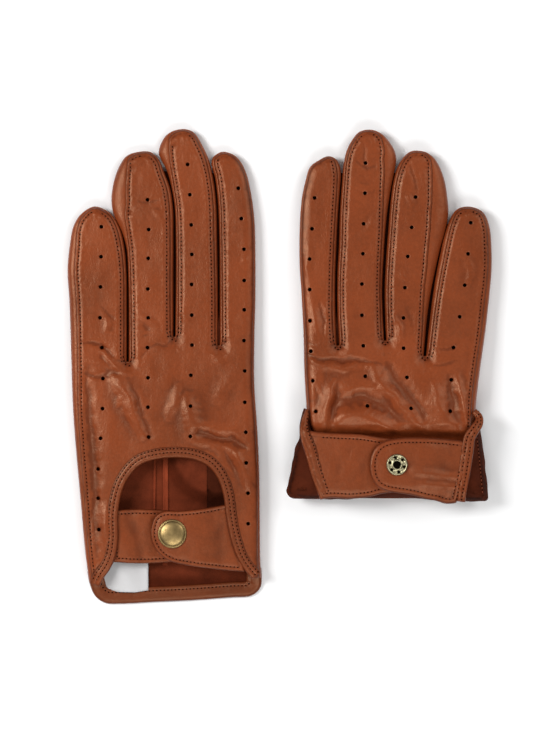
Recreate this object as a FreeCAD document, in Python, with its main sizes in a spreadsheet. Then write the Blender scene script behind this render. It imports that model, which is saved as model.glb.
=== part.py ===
import os

import FreeCAD
import Part
import Sketcher

# A pair of men's unlined driving gloves in thin nappa leather, laid flat with the backs of the
# hands up, in millimetres. +X is to the right, +Y towards the fingertips and +Z up. The left glove
# is worn as seen: its keyhole opening is closed by a tab, snapped onto an understrap. The right
# glove has its whole cuff turned back inside out, so its understrap lies on top.
#
# Each glove is drawn in its own frame: X towards the index finger, Y up from the hem and Z up from
# the palm. The right glove is the same pattern with X reversed.

from FreeCAD import Placement, Rotation, Vector

FINGERS = ("little", "ring", "middle", "index")

SIZES = {
    # where each glove's own frame stands
    "left_x": (-58.5, "left glove, centre line"),
    "right_x": (58.5, "right glove, centre line"),
    "hem_y": (-124.0, "line of the hems"),
    "right_lift": (1.9, "right glove, raised by its turned-back cuff"),
    # leather, walls and heights
    "leather": (1.0, "panel thickness"),
    "body_height": (12.0, "underside of the back panel"),
    "palm_arch": (6.1, "height of the palm over the folded thumb"),
    "arch_start": (50.0, "where the palm leaves the table"),
    "arch_full": (76.0, "where the palm is at full height"),
    "arch_end": (148.0, "where the palm starts down again"),
    "arch_down": (176.0, "where the palm meets the table again"),
    # outline of the hand
    "hem_left": (-39.5, "little finger side at the hem"),
    "hem_right": (49.0, "index finger side at the hem"),
    "hem_rise": (11.0, "height of the hem's corners"),
    "hem_slack": (2.0, "how much higher the index side's corner is"),
    "hem_round_left": (5.0, "how far the hem's left corner is cut in"),
    "hem_round_right": (4.0, "how far the hem's right corner is cut in"),
    "hem_left_y": (2.0, "hem's left corner, above its middle"),
    "hem_right_y": (4.0, "hem's right corner, above its middle"),
    "wrist_left": (-44.5, "little finger side at the cuff fold"),
    "knuckle_left": (-49.0, "little finger side at the knuckles"),
    "knuckle_right": (46.3, "index finger side at the knuckles"),
    "knuckle_y": (112.0, "height of the knuckle points"),
    "little_base_left": (-50.5, ""), "little_base_right": (-19.5, ""),
    "little_tip_left": (-51.5, ""), "little_tip_right": (-26.5, ""), "little_tip": (208.0, ""),
    "ring_base_left": (-19.0, ""), "ring_base_right": (4.0, ""),
    "ring_tip_left": (-26.0, ""), "ring_tip_right": (-2.0, ""), "ring_tip": (236.5, ""),
    "middle_base_left": (4.5, ""), "middle_base_right": (27.4, ""),
    "middle_tip_left": (-1.5, ""), "middle_tip_right": (23.5, ""), "middle_tip": (248.0, ""),
    "index_base_left": (27.9, ""), "index_base_right": (46.3, ""),
    "index_tip_left": (24.6, ""), "index_tip_right": (44.6, ""), "index_tip": (236.0, ""),
    "little_slit": (126.0, "bottom of the slit beside the little finger"),
    "ring_slit": (138.5, "bottom of the slit beside the ring finger"),
    "middle_slit": (135.0, "bottom of the slit beside the middle finger"),
    # thumb, folded flat under the palm
    "thumb_left": (14.0, ""), "thumb_right": (40.0, ""),
    "thumb_base": (78.0, ""), "thumb_tip": (146.0, ""),
    "thumb_height": (5.8, ""), "thumb_wall": (0.8, ""),
    "thumb_hole_margin": (4.0, ""), "thumb_hole_length": (14.0, ""),
    # keyhole opening in the back of the cuff
    "key_foot_left": (-36.0, ""), "key_foot_right": (46.0, ""), "key_foot": (9.0, ""),
    "key_waist_left": (-27.0, ""), "key_waist_right": (34.0, ""), "key_waist": (33.0, ""),
    "key_left": (-26.0, ""), "key_right": (31.0, ""), "key_spring": (48.5, ""),
    "key_radius": (28.5, ""),
    "binding_width": (4.7, ""), "binding_height": (0.8, ""),
    # perforations
    "vent_radius": (0.8, ""), "vent_pitch": (15.3, ""),
    # tab, understrap and snap fastener
    "left_snap_x": (3.9, ""), "right_snap_x": (-3.1, ""), "snap_y": (37.2, ""),
    "tab_reach": (11.2, "tab end beyond the snap"), "tab_top": (50.0, ""), "tab_bottom": (22.4, ""),
    "tab_end": (14.2, "radius of the tab's rounded end"),
    "tab_base": (12.1, "underside of the tab"), "hinge_gap": (0.3, ""),
    "strap_reach": (14.0, "understrap end beyond the snap"),
    "strap_end": (16.0, "radius of the understrap's rounded end"), "strap_crown": (8.3, ""),
    "strap_top": (49.4, ""), "strap_bottom": (21.3, ""),
    "strap_base": (8.2, "underside of the understrap"), "strap_rise": (2.1, ""),
    "strap_slope": (9.0, "length of the understrap's sloping root"),
    "lining": (0.7, ""), "facing_skin": (0.8, ""),
    "cap_radius": (7.5, ""), "cap_height": (2.6, ""), "cap_rim": (0.9, ""),
    "socket_radius": (5.6, ""), "socket_bore": (2.5, ""), "socket_height": (1.9, ""),
    "stud_radius": (5.0, ""), "stud_flange": (0.4, ""), "peg_radius": (2.1, ""),
    "peg_height": (1.6, ""),
    "post_radius": (5.6, ""), "post_height": (1.0, ""), "post_bore": (1.95, ""),
    "post_hole": (0.75, ""), "post_hole_circle": (3.8, ""), "post_holes": (6, ""),
    # hem facing and label inside the palm's cuff
    "facing_inset": (0.4, ""), "facing_width": (7.5, ""), "facing_height": (0.6, ""),
    "label_left": (-33.5, ""), "label_right": (-9.0, ""), "label_bottom": (10.6, ""),
    "label_top": (33.0, ""), "label_height": (0.4, ""),
    # the right cuff turned back about a fold
    "fold_y": (55.25, ""), "sleeve_left": (-50.4, ""), "sleeve_right": (53.5, ""),
    "sleeve_end_right": (49.3, ""), "sleeve_end": (98.0, ""),
    "turn_height": (15.2, "mid-height of the back's turn"),
}


class Size:
    """A length read from the sheet, kept with the formula that it is bound by."""

    def __init__(self, value, formula):
        self.value = float(value)
        self.formula = formula

    def joined(self, other, sign, result):
        """The size that one sign makes of this one and another."""
        return Size(result, "(%s %s %s)" % (self.formula, sign, other.formula))

    def __add__(self, other):
        other = as_size(other)
        return self.joined(other, "+", self.value + other.value)

    def __sub__(self, other):
        other = as_size(other)
        return self.joined(other, "-", self.value - other.value)

    def __mul__(self, other):
        other = as_size(other)
        return self.joined(other, "*", self.value * other.value)

    def __rsub__(self, other):
        return as_size(other) - self

    __radd__ = __add__
    __rmul__ = __mul__


def as_size(number):
    """A plain number as a size; a size as it is."""
    if isinstance(number, Size):
        return number
    return Size(number, repr(float(number)))


class Sizes:
    """The spreadsheet of driving dimensions; each alias reads as a Size."""

    def __init__(self, document):
        sheet = document.addObject("Spreadsheet::Sheet", "Sizes")
        for row, (alias, (value, note)) in enumerate(SIZES.items(), start=1):
            sheet.set("A%d" % row, str(value))
            sheet.setAlias("A%d" % row, alias)
            sheet.set("B%d" % row, note)

    def __getattr__(self, alias):
        return Size(SIZES[alias][0], "Sizes." + alias)

    def finger(self, name, end):
        """One measure of one finger, such as its base_left."""
        return getattr(self, name + "_" + end)


DOC = FreeCAD.newDocument("Gloves")
S = Sizes(DOC)
DOC.recompute()
HALF_SPAN = 90.0      # half the length of a cut that passes right across a glove
TALL = 30.0           # clears everything above


# ---- sketches and features -------------------------------------------------------------------

def new_body(name):
    """An empty body that may hold more than one solid while it is being made."""
    body = DOC.addObject("PartDesign::Body", name)
    body.AllowCompound = True
    return body


def new_sketch(body, name, role, height=0.0):
    """A sketch on one of the body's own origin planes, raised by height along its normal."""
    sketch = body.newObject("Sketcher::SketchObject", body.Name + "_" + name)
    plane = [part for part in body.Origin.OriginFeatures if part.Role == role][0]
    sketch.AttachmentSupport = [(plane, "")]
    sketch.MapMode = "FlatFace"
    height = as_size(height)
    sketch.AttachmentOffset = Placement(Vector(0, 0, height.value), Rotation())
    sketch.setExpression("AttachmentOffset.Base.z", height.formula)
    return sketch


def bind(sketch, constraint, size):
    """Add a dimension to the sketch and drive it from the sheet."""
    index = sketch.addConstraint(constraint)
    sketch.setExpression("Constraints[%d]" % index, size.formula)


def add_outline(sketch, corners):
    """Draw one closed outline. A corner is (x, y), or (x, y, radius) where the edge that leaves
    it is an arc of that radius, bulging to the left of its travel if the radius is negative."""
    first = sketch.GeometryCount
    count = len(corners)
    points = [Vector(as_size(c[0]).value, as_size(c[1]).value, 0) for c in corners]
    for index, corner in enumerate(corners):
        start = points[index]
        end = points[(index + 1) % count]
        if len(corner) == 2:
            sketch.addGeometry(Part.LineSegment(start, end))
            continue
        sketch.addGeometry(arc_between(start, end, as_size(corner[2]).value))
    for index, corner in enumerate(corners):
        edge = first + index
        following = first + (index + 1) % count
        leaves, arrives = edge_ends(sketch.Geometry[edge], points[index])
        next_leaves = edge_ends(sketch.Geometry[following], points[(index + 1) % count])[0]
        sketch.addConstraint(Sketcher.Constraint("Coincident", edge, arrives, following, next_leaves))
        bind(sketch, Sketcher.Constraint("DistanceX", edge, leaves, points[index].x),
             as_size(corner[0]))
        bind(sketch, Sketcher.Constraint("DistanceY", edge, leaves, points[index].y),
             as_size(corner[1]))


def arc_between(start, end, radius):
    """The arc from start to end that bulges to the right of its travel, or to the left if the
    radius is negative. Every arc is drawn anticlockwise, as the sketch counts its ends."""
    chord = end.sub(start)
    half = chord.Length / 2
    side = Vector(chord.y, -chord.x, 0).normalize()
    reach = abs(radius) - max(radius * radius - half * half, 0.0) ** 0.5
    bulge = reach if radius > 0 else -reach
    middle = start.add(end).multiply(0.5).add(side.multiply(bulge))
    if radius > 0:
        return Part.Arc(start, middle, end)
    return Part.Arc(end, middle, start)


def edge_ends(edge, start):
    """Which ends of an edge lie at its start and at its far end: 1 or 2."""
    if edge.StartPoint.distanceToPoint(start) < 1e-4:
        return 1, 2
    return 2, 1


def add_circle(sketch, x, y, radius):
    """A circle whose centre and radius are driven from the sheet."""
    x, y, radius = as_size(x), as_size(y), as_size(radius)
    centre = Vector(x.value, y.value, 0)
    index = sketch.addGeometry(Part.Circle(centre, Vector(0, 0, 1), radius.value))
    bind(sketch, Sketcher.Constraint("Radius", index, radius.value), radius)
    bind(sketch, Sketcher.Constraint("DistanceX", index, 3, x.value), x)
    bind(sketch, Sketcher.Constraint("DistanceY", index, 3, y.value), y)


def pad(body, name, outlines, bottom, height, circles=()):
    """Raise outlines on the XY plane from bottom by height."""
    sketch = new_sketch(body, name, "XY_Plane", bottom)
    for corners in outlines:
        add_outline(sketch, corners)
    for circle in circles:
        add_circle(sketch, *circle)
    height = as_size(height)
    feature = body.newObject("PartDesign::Pad", body.Name + "_" + name + "_pad")
    feature.Profile = sketch
    feature.Length = height.value
    feature.setExpression("Length", height.formula)
    DOC.recompute()
    return feature


def cut(body, name, role, outlines, circles=()):
    """Cut outlines right through the body, both ways from one of its origin planes."""
    before = body.Shape.Volume
    sketch = new_sketch(body, name, role)
    for corners in outlines:
        add_outline(sketch, corners)
    for circle in circles:
        add_circle(sketch, *circle)
    feature = body.newObject("PartDesign::Pocket", body.Name + "_" + name + "_cut")
    feature.Profile = sketch
    feature.SideType = "Symmetric"
    feature.Length = 2 * HALF_SPAN
    DOC.recompute()
    if body.Shape.Volume > before - 1e-3:
        raise RuntimeError("%s cuts nothing from %s" % (name, body.Name))
    return feature


def disc(body, name, bottom, height, radius, x, y, bore=None):
    """A round step on a snap part, bored through if a bore is given."""
    circles = [(x, y, radius)]
    if bore is not None:
        circles.append((x, y, bore))
    return pad(body, name, [], bottom, height, circles)


# ---- the glove's pattern ---------------------------------------------------------------------

class Glove:
    """One glove: its side of the body, where it stands and whether its cuff is turned back."""

    def __init__(self, name, mirror, snap_x, x, lift, turned):
        self.name = name
        self.mirror = mirror
        self.snap_x = snap_x
        self.x = x
        self.lift = as_size(lift)
        self.turned = turned

    def flat(self, corners):
        """Corners in the glove's own frame, with X reversed on a right glove."""
        if self.mirror > 0:
            return corners
        swapped = []
        for corner in corners:
            radius = tuple(-1 * as_size(r) for r in corner[2:])
            swapped.append((-1 * as_size(corner[0]), corner[1]) + radius)
        return swapped

    def label(self, thing, node):
        """Name one sub-part for this glove, and stand it in its place."""
        thing.Label = self.name + "_" + node
        return thing

    def stand(self, body, turn_sum=None, x=0.0, y=0.0):
        """Place a body drawn about the point x, y of the glove's frame. With turn_sum it is
        turned over about the cuff fold, where turn_sum is twice the height of the turning axis."""
        base_x = self.x + x
        base_y = S.hem_y + y
        base_z = self.lift
        rotation = Rotation()
        if turn_sum is not None:
            base_y = S.hem_y + 2 * S.fold_y - y
            base_z = self.lift + turn_sum
            rotation = Rotation(Vector(1, 0, 0), 180)
        body.Placement = Placement(Vector(base_x.value, base_y.value, base_z.value), rotation)
        body.setExpression("Placement.Base.x", base_x.formula)
        body.setExpression("Placement.Base.y", base_y.formula)
        body.setExpression("Placement.Base.z", base_z.formula)
        return body

    def strap_turn(self):
        """How far the strap and snap are turned over: not at all on the left glove."""
        return 2 * S.turn_height if self.turned else None


LEFT = Glove("left", 1, S.left_snap_x, S.left_x, 0.0, False)
RIGHT = Glove("right", -1, S.right_snap_x, S.right_x, S.right_lift, True)


def finger_radius(finger):
    """Half the width of a fingertip."""
    return (S.finger(finger, "tip_right") - S.finger(finger, "tip_left")) * 0.5


def finger_shoulder(finger):
    """Where a finger's straight sides end and its round tip starts."""
    return S.finger(finger, "tip") - finger_radius(finger)


def finger_outlines():
    """The corners from the little finger's outer side, over the four tips, to the index's."""
    corners = []
    for finger in FINGERS:
        shoulder = finger_shoulder(finger)
        if finger != "little":
            previous = FINGERS[FINGERS.index(finger) - 1]
            corners.append((S.finger(finger, "base_left"), S.finger(previous, "slit")))
        corners.append((S.finger(finger, "tip_left"), shoulder, -1 * finger_radius(finger)))
        corners.append((S.finger(finger, "tip_right"), shoulder))
        if finger != "index":
            corners.append((S.finger(finger, "base_right"), S.finger(finger, "slit")))
    corners.append((S.index_base_right, S.middle_slit))
    return corners


def left_side():
    """The little finger side, from the hem up."""
    return [(S.hem_left, S.hem_rise), (S.wrist_left, S.fold_y), (S.knuckle_left, S.knuckle_y)]


def right_side():
    """The index finger side, from the knuckles down."""
    return [(S.knuckle_right, S.knuckle_y), (S.hem_right, S.fold_y),
            (S.hem_right, S.hem_rise + S.hem_slack)]


def palm_outline():
    """The palm panel, down to its hem."""
    return left_side() + finger_outlines() + right_side() + hem_line(0.0)


def hem_line(rise):
    """The hem from the index side to the little finger side, raised by rise."""
    return [(S.hem_right - S.hem_round_right, S.hem_right_y + rise), (0, rise),
            (S.hem_left + S.hem_round_left, S.hem_left_y + rise)]


def keyhole(widen=0.0):
    """The keyhole's edge from the index side's foot, over its arch, to the little finger side's,
    moved outwards by widen."""
    return [
        (S.key_foot_right + widen, S.key_foot + 2), (S.key_waist_right + widen, S.key_waist),
        (S.key_right + widen, S.key_spring, S.key_radius + widen),
        (S.key_left - widen, S.key_spring), (S.key_waist_left - widen, S.key_waist),
        (S.key_foot_left - widen, S.key_foot),
    ]


def back_outline():
    """The back panel, with the keyhole cut out of its cuff."""
    return left_side() + finger_outlines() + right_side() + keyhole()


def sheet_profile(rise):
    """The palm's line along the glove, over the thumb, raised by rise: (y, z) corners."""
    return [(S.arch_start, rise), (S.arch_full, S.palm_arch + rise),
            (S.arch_end, S.palm_arch + rise), (S.arch_down, rise)]


def above_sheet(rise):
    """Everything above the palm's line."""
    return [(-10, rise)] + sheet_profile(rise) + [(300, rise), (300, TALL), (-10, TALL)]


def below_sheet(rise):
    """Everything below the palm's line."""
    return [(-10, rise)] + sheet_profile(rise) + [(300, rise), (300, -5), (-10, -5)]


def cut_at_fold(body):
    """Take away what lies below the cuff fold."""
    cut(body, "fold", "XY_Plane", [[(-80, S.fold_y), (80, S.fold_y), (80, -30), (-80, -30)]])


# ---- panels ----------------------------------------------------------------------------------

def palm_sheet(glove):
    """The palm's flat leather, arched over the folded thumb."""
    body = new_body(glove.name + "_palm_sheet")
    pad(body, "panel", [glove.flat(palm_outline())], 0, S.body_height)
    cut(body, "above", "YZ_Plane", [above_sheet(S.leather)])
    cut(body, "arch", "YZ_Plane", [sheet_profile(0) + [(S.arch_down, -1), (S.arch_start, -1)]])
    cut(body, "thumb_hole", "XY_Plane", [glove.flat(thumb_hole())])
    if glove.turned:
        cut_at_fold(body)
    return glove.stand(body)


def thumb_hole():
    """The opening from the palm into the thumb."""
    margin = S.thumb_hole_margin
    low = S.thumb_base + margin
    high = low + S.thumb_hole_length
    left = S.thumb_left + margin
    right = S.thumb_right - margin
    return [(left, low), (right, low), (right, high), (left, high)]


def outer_walls():
    """The palm leather's turned-up edge: both sides of the hand and round each fingertip."""
    wall = S.leather
    walls = []
    for finger in FINGERS:
        left = S.finger(finger, "tip_left")
        right = S.finger(finger, "tip_right")
        radius = finger_radius(finger)
        shoulder = finger_shoulder(finger)
        tip_outer = [(left, shoulder, -1 * radius), (right, shoulder)]
        tip_inner = [(right - wall, shoulder, radius - wall), (left + wall, shoulder)]
        if finger == "little":
            side = left_side()
            inner_side = [(x + wall, y) for x, y in reversed(side)]
            walls.append(side + tip_outer + tip_inner + inner_side)
        elif finger == "index":
            side = [(S.index_base_right, S.middle_slit)] + right_side()
            inner_side = [(x - wall, y) for x, y in reversed(side)]
            walls.append(tip_outer + side + inner_side + tip_inner)
        else:
            walls.append(tip_outer + tip_inner)
    return walls


def palm_walls(glove):
    """The standing edge of the palm panel, up to the back panel."""
    body = new_body(glove.name + "_palm_walls")
    pad(body, "edge", [glove.flat(wall) for wall in outer_walls()], 0, S.body_height)
    cut(body, "below", "YZ_Plane", [below_sheet(S.leather)])
    if glove.turned:
        cut_at_fold(body)
    return glove.stand(body)


def sleeve_side(inset=0.0):
    """The turned-back cuff's two sides: little finger side, then index side, as (x, y) runs."""
    left = [(S.sleeve_left + inset, S.fold_y), (S.sleeve_left + inset, S.sleeve_end)]
    right = [(S.sleeve_end_right - inset, S.sleeve_end), (S.sleeve_right - inset, S.fold_y)]
    return left, right


def palm_turnback(glove):
    """The palm's half of the turned-back cuff: its sheet on the table, its sides and its fold."""
    body = new_body(glove.name + "_palm_turnback")
    floor = S.facing_height - glove.lift
    top = 2 * S.turn_height - S.body_height - S.leather
    left, right = sleeve_side()
    hem = [(x, 2 * S.fold_y - y) for x, y in reversed(hem_line(0.0))]
    pad(body, "sheet", [glove.flat(left + hem + right)], floor, S.leather)
    inner_left, inner_right = sleeve_side(S.leather)
    walls = [left + inner_left[::-1], right + inner_right[::-1]]
    pad(body, "sides", [glove.flat(wall) for wall in walls], floor, top - floor)
    low = S.fold_y - S.leather
    band = [(S.sleeve_left, low), (S.sleeve_right, low), (S.sleeve_right, S.fold_y),
            (S.sleeve_left, S.fold_y)]
    pad(body, "fold_floor", [glove.flat(band)], floor, S.leather * 3.4)
    ends = []
    for outer, inner in ((S.sleeve_left, S.wrist_left + 1), (S.sleeve_right, S.hem_right - 1)):
        ends.append([(outer, low), (outer, S.fold_y), (inner, S.fold_y), (inner, low)])
    pad(body, "fold_sides", [glove.flat(end) for end in ends], floor, S.body_height - floor)
    return glove.stand(body)


def palm_panel(glove):
    """The palm, in one piece of leather with its turned-up edge and its cuff."""
    pieces = [palm_sheet(glove), palm_walls(glove)]
    if glove.turned:
        pieces.append(palm_turnback(glove))
    return joined(glove, "palm_panel", pieces)


def joined(glove, node, pieces):
    """One piece of leather made of several bodies."""
    fuse = DOC.addObject("Part::MultiFuse", glove.name + "_" + node)
    fuse.Shapes = pieces
    fuse.Refine = True
    DOC.recompute()
    return glove.label(fuse, node)


VENT_COLUMNS = (       # x and y of the lowest vent, and how many there are above it
    ("little", -32.5, 42.0, 11), ("ring", -9.0, 87.0, 8),
    ("middle", 12.8, 87.0, 9), ("index", 40.6, 42.0, 11),
)


def back_sheet(glove):
    """The back of the hand with its keyhole and its four rows of vents."""
    body = new_body(glove.name + "_back_sheet")
    pad(body, "panel", [glove.flat(back_outline())], S.body_height, S.leather)
    if glove.turned:
        cut_at_fold(body)
    for finger, x, y, count in VENT_COLUMNS:
        if glove.turned and y < S.fold_y.value:
            y = y + 2 * S.vent_pitch
            count = count - 2
        hole = cut(body, "vent_" + finger, "XY_Plane", [],
                   [(glove.mirror * as_size(x), y, S.vent_radius)])
        row = body.newObject("PartDesign::LinearPattern", body.Name + "_vents_" + finger)
        row.Originals = [hole]
        row.Direction = (hole.Profile[0], ["V_Axis"])
        row.Occurrences = count
        row.Length = S.vent_pitch.value * (count - 1)
        row.setExpression("Length", "Sizes.vent_pitch * %d" % (count - 1))
        body.Tip = row
        DOC.recompute()
    return glove.stand(body)


def back_turnback(glove):
    """The back's half of the turned-back cuff: a flap on each side of the keyhole, and its fold."""
    body = new_body(glove.name + "_back_turnback")
    left, right = sleeve_side()
    turned = [(x, 2 * S.fold_y - y) for x, y in (
        (S.key_waist_left, S.key_waist), (S.key_foot_left, S.key_foot),
        (S.key_foot_right, S.key_foot + 2), (S.key_waist_right, S.key_waist))]
    flaps = [left + [turned[1], turned[0], (S.key_left, S.fold_y)],
             [(S.key_right, S.fold_y), turned[3], turned[2]] + right]
    bottom = 2 * S.turn_height - S.body_height - S.leather
    pad(body, "flaps", [glove.flat(flap) for flap in flaps], bottom, S.leather)
    low = S.fold_y - S.leather
    folds = []
    for outer, inner in ((S.sleeve_left, S.key_left), (S.sleeve_right, S.key_right)):
        folds.append([(outer, low), (outer, S.fold_y), (inner, S.fold_y), (inner, low)])
    pad(body, "folds", [glove.flat(fold) for fold in folds], S.body_height,
        bottom + S.leather - S.body_height)
    return glove.stand(body)


def back_panel(glove):
    """The back, in one piece of leather."""
    pieces = [back_sheet(glove)]
    if glove.turned:
        pieces.append(back_turnback(glove))
        return joined(glove, "back_panel", pieces)
    return glove.label(pieces[0], "back_panel")


def fourchette(glove, finger):
    """The strip let in between two fingers: down one, round the slit and up the next."""
    following = FINGERS[FINGERS.index(finger) + 1]
    slit = S.finger(finger, "slit")
    wall = S.leather
    rows = [
        (S.finger(finger, "tip_right"), finger_shoulder(finger)),
        (S.finger(finger, "base_right"), slit),
        (S.finger(following, "base_left"), slit),
        (S.finger(following, "tip_left"), finger_shoulder(following)),
        (S.finger(following, "tip_left") + wall, finger_shoulder(following)),
        (S.finger(following, "base_left") + wall, slit - wall),
        (S.finger(finger, "base_right") - wall, slit - wall),
        (S.finger(finger, "tip_right") - wall, finger_shoulder(finger)),
    ]
    body = new_body("%s_%s_%s_fourchette" % (glove.name, finger, following))
    pad(body, "strip", [glove.flat(rows)], 0, S.body_height)
    cut(body, "below", "YZ_Plane", [below_sheet(S.leather)])
    glove.stand(body)
    return glove.label(body, "%s_%s_fourchette" % (finger, following))


def thumb(glove):
    """The thumb, pressed flat under the palm."""
    body = new_body(glove.name + "_thumb_tube")
    wall = S.thumb_wall
    outer = thumb_outline(0.0)
    pad(body, "under", [glove.flat(outer)], 0, wall)
    pad(body, "sides", [glove.flat(outer), glove.flat(thumb_outline(wall))], 0, S.thumb_height)
    pad(body, "upper", [glove.flat(outer), glove.flat(thumb_hole())], S.thumb_height - wall, wall)
    return glove.label(glove.stand(body), "thumb")


def thumb_outline(inset):
    """The thumb's outline, moved inwards by inset."""
    radius = (S.thumb_right - S.thumb_left) * 0.5 - inset
    shoulder = S.thumb_tip - inset - radius
    left = S.thumb_left + inset
    right = S.thumb_right - inset
    base = S.thumb_base + inset
    return [(left, base), (left, shoulder, -1 * radius), (right, shoulder), (right, base)]


# ---- cuff trim -------------------------------------------------------------------------------

def binding_body(glove, name):
    """The keyhole's folded binding on the face of the back panel."""
    body = new_body(name)
    band = keyhole() + keyhole_back(S.binding_width)
    pad(body, "band", [glove.flat(band)], S.body_height + S.leather, S.binding_height)
    return body


def keyhole_back(widen):
    """The widened keyhole edge, walked the other way, back to the index side's foot."""
    edge = keyhole(widen)
    corners = [edge[5], edge[4], (edge[3][0], edge[3][1], -1 * (S.key_radius + widen)),
               (edge[2][0], edge[2][1]), edge[1], edge[0]]
    inner_left = (S.key_foot_left - 2.5, S.key_foot + 4)
    inner_right = (S.key_foot_right + 2, S.key_foot + 6)
    return [inner_left] + corners[1:5] + [inner_right]


def keyhole_binding(glove):
    """The keyhole binding, turned back with the cuff on the right glove."""
    arch = binding_body(glove, glove.name + "_binding_arch")
    glove.stand(arch)
    if not glove.turned:
        return glove.label(arch, "keyhole_binding")
    cut_at_fold(arch)
    legs = binding_body(glove, glove.name + "_binding_legs")
    high = [(-80, S.fold_y), (-80, 120), (80, 120), (80, S.fold_y)]
    cut(legs, "above_fold", "XY_Plane", [high])
    glove.stand(legs, 2 * S.turn_height)
    turn = new_body(glove.name + "_binding_turn")
    ends = []
    width = S.binding_width
    for inner, outer in ((S.key_left, S.key_left - width), (S.key_right, S.key_right + width)):
        high = S.fold_y + S.binding_height
        ends.append([(inner, S.fold_y), (inner, high), (outer, high), (outer, S.fold_y)])
    bottom = S.body_height + S.leather
    pad(turn, "turns", [glove.flat(end) for end in ends], bottom, 2 * (S.turn_height - bottom))
    glove.stand(turn)
    return joined(glove, "keyhole_binding", [arch, legs, turn])


def hem_facing(glove):
    """The band that finishes the palm's hem on the inside."""
    body = new_body(glove.name + "_hem")
    low = hem_line(S.facing_inset)[::-1]
    high = hem_line(S.facing_inset + S.facing_width)
    pad(body, "band", [glove.flat(low + high)], S.leather, S.facing_height)
    glove.stand(body, S.leather + S.facing_height - glove.lift if glove.turned else None)
    return glove.label(body, "hem_facing")


def label(glove):
    """The woven size label inside the palm's cuff, left blank."""
    body = new_body(glove.name + "_size_label")
    corners = [(S.label_left, S.label_bottom), (S.label_right, S.label_bottom),
               (S.label_right, S.label_top), (S.label_left, S.label_top)]
    pad(body, "cloth", [glove.flat(corners)], S.leather, S.label_height)
    glove.stand(body, S.leather + S.facing_height - glove.lift if glove.turned else None)
    return glove.label(body, "label")


# ---- strap and snap fastener -----------------------------------------------------------------

def tab_layer(glove, node, bottom, height):
    """One skin of the tab: from the keyhole's index side to a rounded end past the snap."""
    body = new_body(glove.name + "_" + node + "_skin")
    gap = S.hinge_gap
    shoulder = glove.snap_x - S.tab_reach + S.tab_end
    corners = [
        (S.key_right - gap, S.key_spring + 2.5), (shoulder, S.tab_top, S.tab_end),
        (shoulder, S.tab_bottom), (S.key_waist_right + 4.5 - gap, S.tab_bottom - 3),
        (S.key_waist_right - gap, S.key_waist), (S.key_right - gap, S.key_spring),
    ]
    pad(body, "skin", [glove.flat(corners)], bottom, height)
    glove.stand(body, glove.strap_turn())
    return glove.label(body, node)


def understrap_layer(glove, node, bottom, height):
    """One skin of the understrap: from the little finger side, down under the tab."""
    body = new_body(glove.name + "_" + node + "_skin")
    root = S.key_left + 0.5
    shoulder = glove.snap_x + S.strap_reach - S.strap_crown
    corners = [
        (root, S.strap_bottom + 3), (root, S.strap_top), (shoulder, S.strap_top, -1 * S.strap_end),
        (shoulder, S.strap_bottom), (root + 3, S.strap_bottom),
    ]
    pad(body, "skin", [glove.flat(corners)], S.strap_base - 1, S.strap_rise + 5)
    slope_end = root + S.strap_slope
    line = [(root - 3, bottom + S.strap_rise), (root, bottom + S.strap_rise), (slope_end, bottom),
            (60, bottom)]
    over = [(x, z + height) for x, z in line]
    cut(body, "over", "XZ_Plane", [glove.flat(over + [(60, TALL), (root - 3, TALL)])])
    cut(body, "under", "XZ_Plane", [glove.flat(line + [(60, -5), (root - 3, -5)])])
    glove.stand(body, glove.strap_turn())
    return glove.label(body, node)


def cap(glove):
    """The snap's domed cap, seen on the tab's face."""
    body = new_body(glove.name + "_cap_dome")
    face = S.tab_base + S.lining + S.facing_skin
    x = glove.mirror * glove.snap_x
    disc(body, "rim", face, S.cap_rim, S.cap_radius, x, S.snap_y)
    disc(body, "crown", face + S.cap_rim, (S.cap_height - S.cap_rim) * 0.5, S.cap_radius - 1, x,
         S.snap_y)
    disc(body, "top", face + S.cap_rim, S.cap_height - S.cap_rim, S.cap_radius - 3, x, S.snap_y)
    glove.stand(body, glove.strap_turn())
    return glove.label(body, "snap_cap")


def socket(glove):
    """The snap's socket, behind the tab."""
    body = new_body(glove.name + "_socket_ring")
    x = glove.mirror * glove.snap_x
    disc(body, "ring", S.tab_base - S.socket_height, S.socket_height, S.socket_radius, x, S.snap_y,
         S.socket_bore)
    glove.stand(body, glove.strap_turn())
    return glove.label(body, "snap_socket")


def stud(glove):
    """The snap's stud, on the understrap's face."""
    body = new_body(glove.name + "_stud_peg")
    face = S.strap_base + S.lining + S.facing_skin
    x = glove.mirror * glove.snap_x
    disc(body, "flange", face, S.stud_flange, S.stud_radius, x, S.snap_y)
    disc(body, "peg", face + S.stud_flange, S.peg_height, S.peg_radius, x, S.snap_y)
    glove.stand(body, glove.strap_turn())
    return glove.label(body, "snap_stud")


def post(glove):
    """The snap's eyelet behind the understrap: a bore and a ring of small holes."""
    body = new_body(glove.name + "_post_ring")
    bottom = S.strap_base - S.post_height
    disc(body, "plate", bottom, S.post_height, S.post_radius, 0, 0, S.post_bore)
    hole = cut(body, "hole", "XY_Plane", [], [(S.post_hole_circle, 0, S.post_hole)])
    ring = body.newObject("PartDesign::PolarPattern", body.Name + "_holes")
    ring.Originals = [hole]
    ring.Axis = (hole.Profile[0], ["N_Axis"])
    ring.Angle = 360
    ring.Occurrences = int(S.post_holes.value)
    ring.setExpression("Occurrences", S.post_holes.formula)
    body.Tip = ring
    DOC.recompute()
    glove.stand(body, glove.strap_turn(), glove.mirror * glove.snap_x, S.snap_y)
    return glove.label(body, "snap_eyelet")


# ---- assembly --------------------------------------------------------------------------------

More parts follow.
